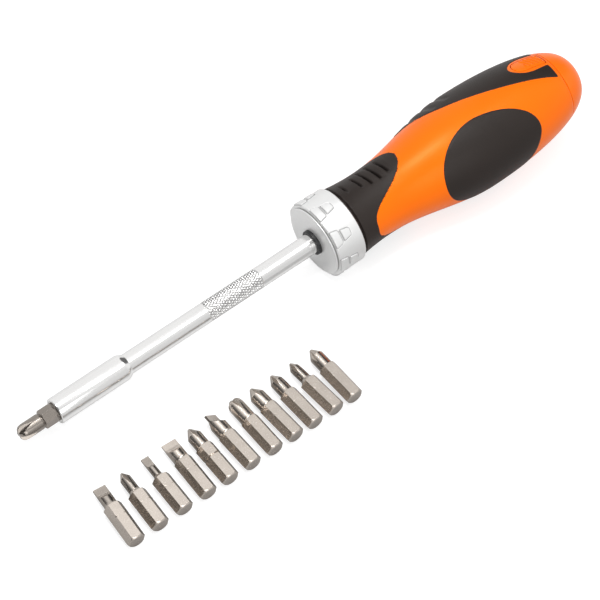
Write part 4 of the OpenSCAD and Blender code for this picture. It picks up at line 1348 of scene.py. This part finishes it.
def lay_floor():
    nothing_selected()
    height = -MOUTH_HEIGHT / MM_IN_M - FLOOR_GAP_M
    bpy.ops.mesh.primitive_plane_add(size=FLOOR_SIZE_M, location=(FLOOR_MIDDLE_M, 0.0, height))
    floor = bpy.context.object
    floor.name = "floor"
    floor.data.materials.append(pale_floor())
    return floor


floor = lay_floor()
print("floor at", round(MM_IN_M * floor.location.z, 2), "mm")

# %% [markdown]
# Three lamps light the driver. An oblong one high beyond the butt draws the line of
# light along the orange plastic, a small one above the shaft lights the neck and the
# upper side of the belly, and a broad one on the near side opens the shadows. One large
# lamp would do for the plastic, but it would wash out the ring and the knurl.

# %% Lamps
LAMPS = [
    {"name": "strip_lamp", "place": (0.42, -0.15, 1.0), "target": (0.2, -0.03, 0),
     "size": (0.50, 0.22), "power": 1.3},
    {"name": "neck_lamp", "place": (0.0, 0.10, 1.0), "target": (0.2, 0, 0),
     "size": (0.25, 0.25), "power": 3.9},
    {"name": "near_lamp", "place": (-0.15, -0.85, 0.6), "target": (0.12, 0, 0),
     "size": (0.6, 0.6), "power": 2.8},
]


def hang_lamp(name, place, target, size, power):
    data = bpy.data.lights.new(name, "AREA")
    data.shape = "RECTANGLE"
    data.size, data.size_y = size
    data.energy = power
    lamp = bpy.data.objects.new(name, data)
    scene.collection.objects.link(lamp)
    lamp.location = place
    lamp.rotation_euler = (Vector(target) - Vector(place)).to_track_quat("-Z", "Y").to_euler()


for setting in LAMPS:
    hang_lamp(**setting)
print("lamps:", len(LAMPS))

# %% [markdown]
# Bright metal shows nothing but its surroundings, so in a white room it would vanish. A
# photographer hangs dark cards round it. Here four zones of the sky are darker, each
# round one direction, and only mirror rays see them. A zone is its direction, where the
# fade begins and ends as a cosine, and the share of light that is left.

# %% Dark zones that mirrors see
DARK_ZONES = [
    ((-1.0, 0.0, 0.0), 0.25, 0.85, 0.08),
    ((0.0, -1.0, 0.0), 0.3, 0.9, 0.75),
    ((-0.385, -0.407, 0.828), 0.86, 0.98, 0.25),
    ((0.8, 0.35, 0.5), 0.865, 0.915, 0.04),
]


def fade(nodes, links, way, zone):
    """A factor of 1 that falls smoothly to the least where the way nears the zone."""
    towards, first, last, least = zone
    dot = nodes.new("ShaderNodeVectorMath")
    dot.operation = "DOT_PRODUCT"
    dot.inputs[1].default_value = towards
    links.new(way, dot.inputs[0])
    fall = nodes.new("ShaderNodeMapRange")
    fall.interpolation_type = "SMOOTHSTEP"
    fall.inputs["From Min"].default_value = first
    fall.inputs["From Max"].default_value = last
    fall.inputs["To Min"].default_value = 1.0
    fall.inputs["To Max"].default_value = least
    links.new(dot.outputs["Value"], fall.inputs["Value"])
    return fall.outputs["Result"]


def all_fades(nodes, links, way):
    light = fade(nodes, links, way, DARK_ZONES[0])
    for zone in DARK_ZONES[1:]:
        product = nodes.new("ShaderNodeMath")
        product.operation = "MULTIPLY"
        links.new(light, product.inputs[0])
        links.new(fade(nodes, links, way, zone), product.inputs[1])
        light = product.outputs[0]
    return light


print("dark zones:", len(DARK_ZONES))

# %% [markdown]
# The room gives matte surfaces one even light from all sides, gives mirror rays the
# zones above, and shows the camera plain white. The view transform is Standard, so a
# colour renders about as it is written.

# %% Room
MATTE_LIGHT = 0.72


def studio_room():
    world = bpy.data.worlds.new("studio_room")
    scene.world = world
    world.use_nodes = True
    nodes, links = world.node_tree.nodes, world.node_tree.links
    sky = nodes["Background"]
    sky.inputs["Color"].default_value = (1.0, 1.0, 1.0, 1.0)
    rays = nodes.new("ShaderNodeLightPath")
    way = nodes.new("ShaderNodeTexCoord").outputs["Object"]
    level = nodes.new("ShaderNodeMix")
    level.data_type = "FLOAT"
    level.inputs["A"].default_value = MATTE_LIGHT
    links.new(rays.outputs["Is Glossy Ray"], level.inputs["Factor"])
    links.new(all_fades(nodes, links, way), level.inputs["B"])
    seen = nodes.new("ShaderNodeMath")
    seen.operation = "MAXIMUM"
    links.new(rays.outputs["Is Camera Ray"], seen.inputs[0])
    links.new(level.outputs["Result"], seen.inputs[1])
    links.new(seen.outputs[0], sky.inputs["Strength"])


studio_room()
scene.view_settings.view_transform = "Standard"
print("world:", scene.world.name)
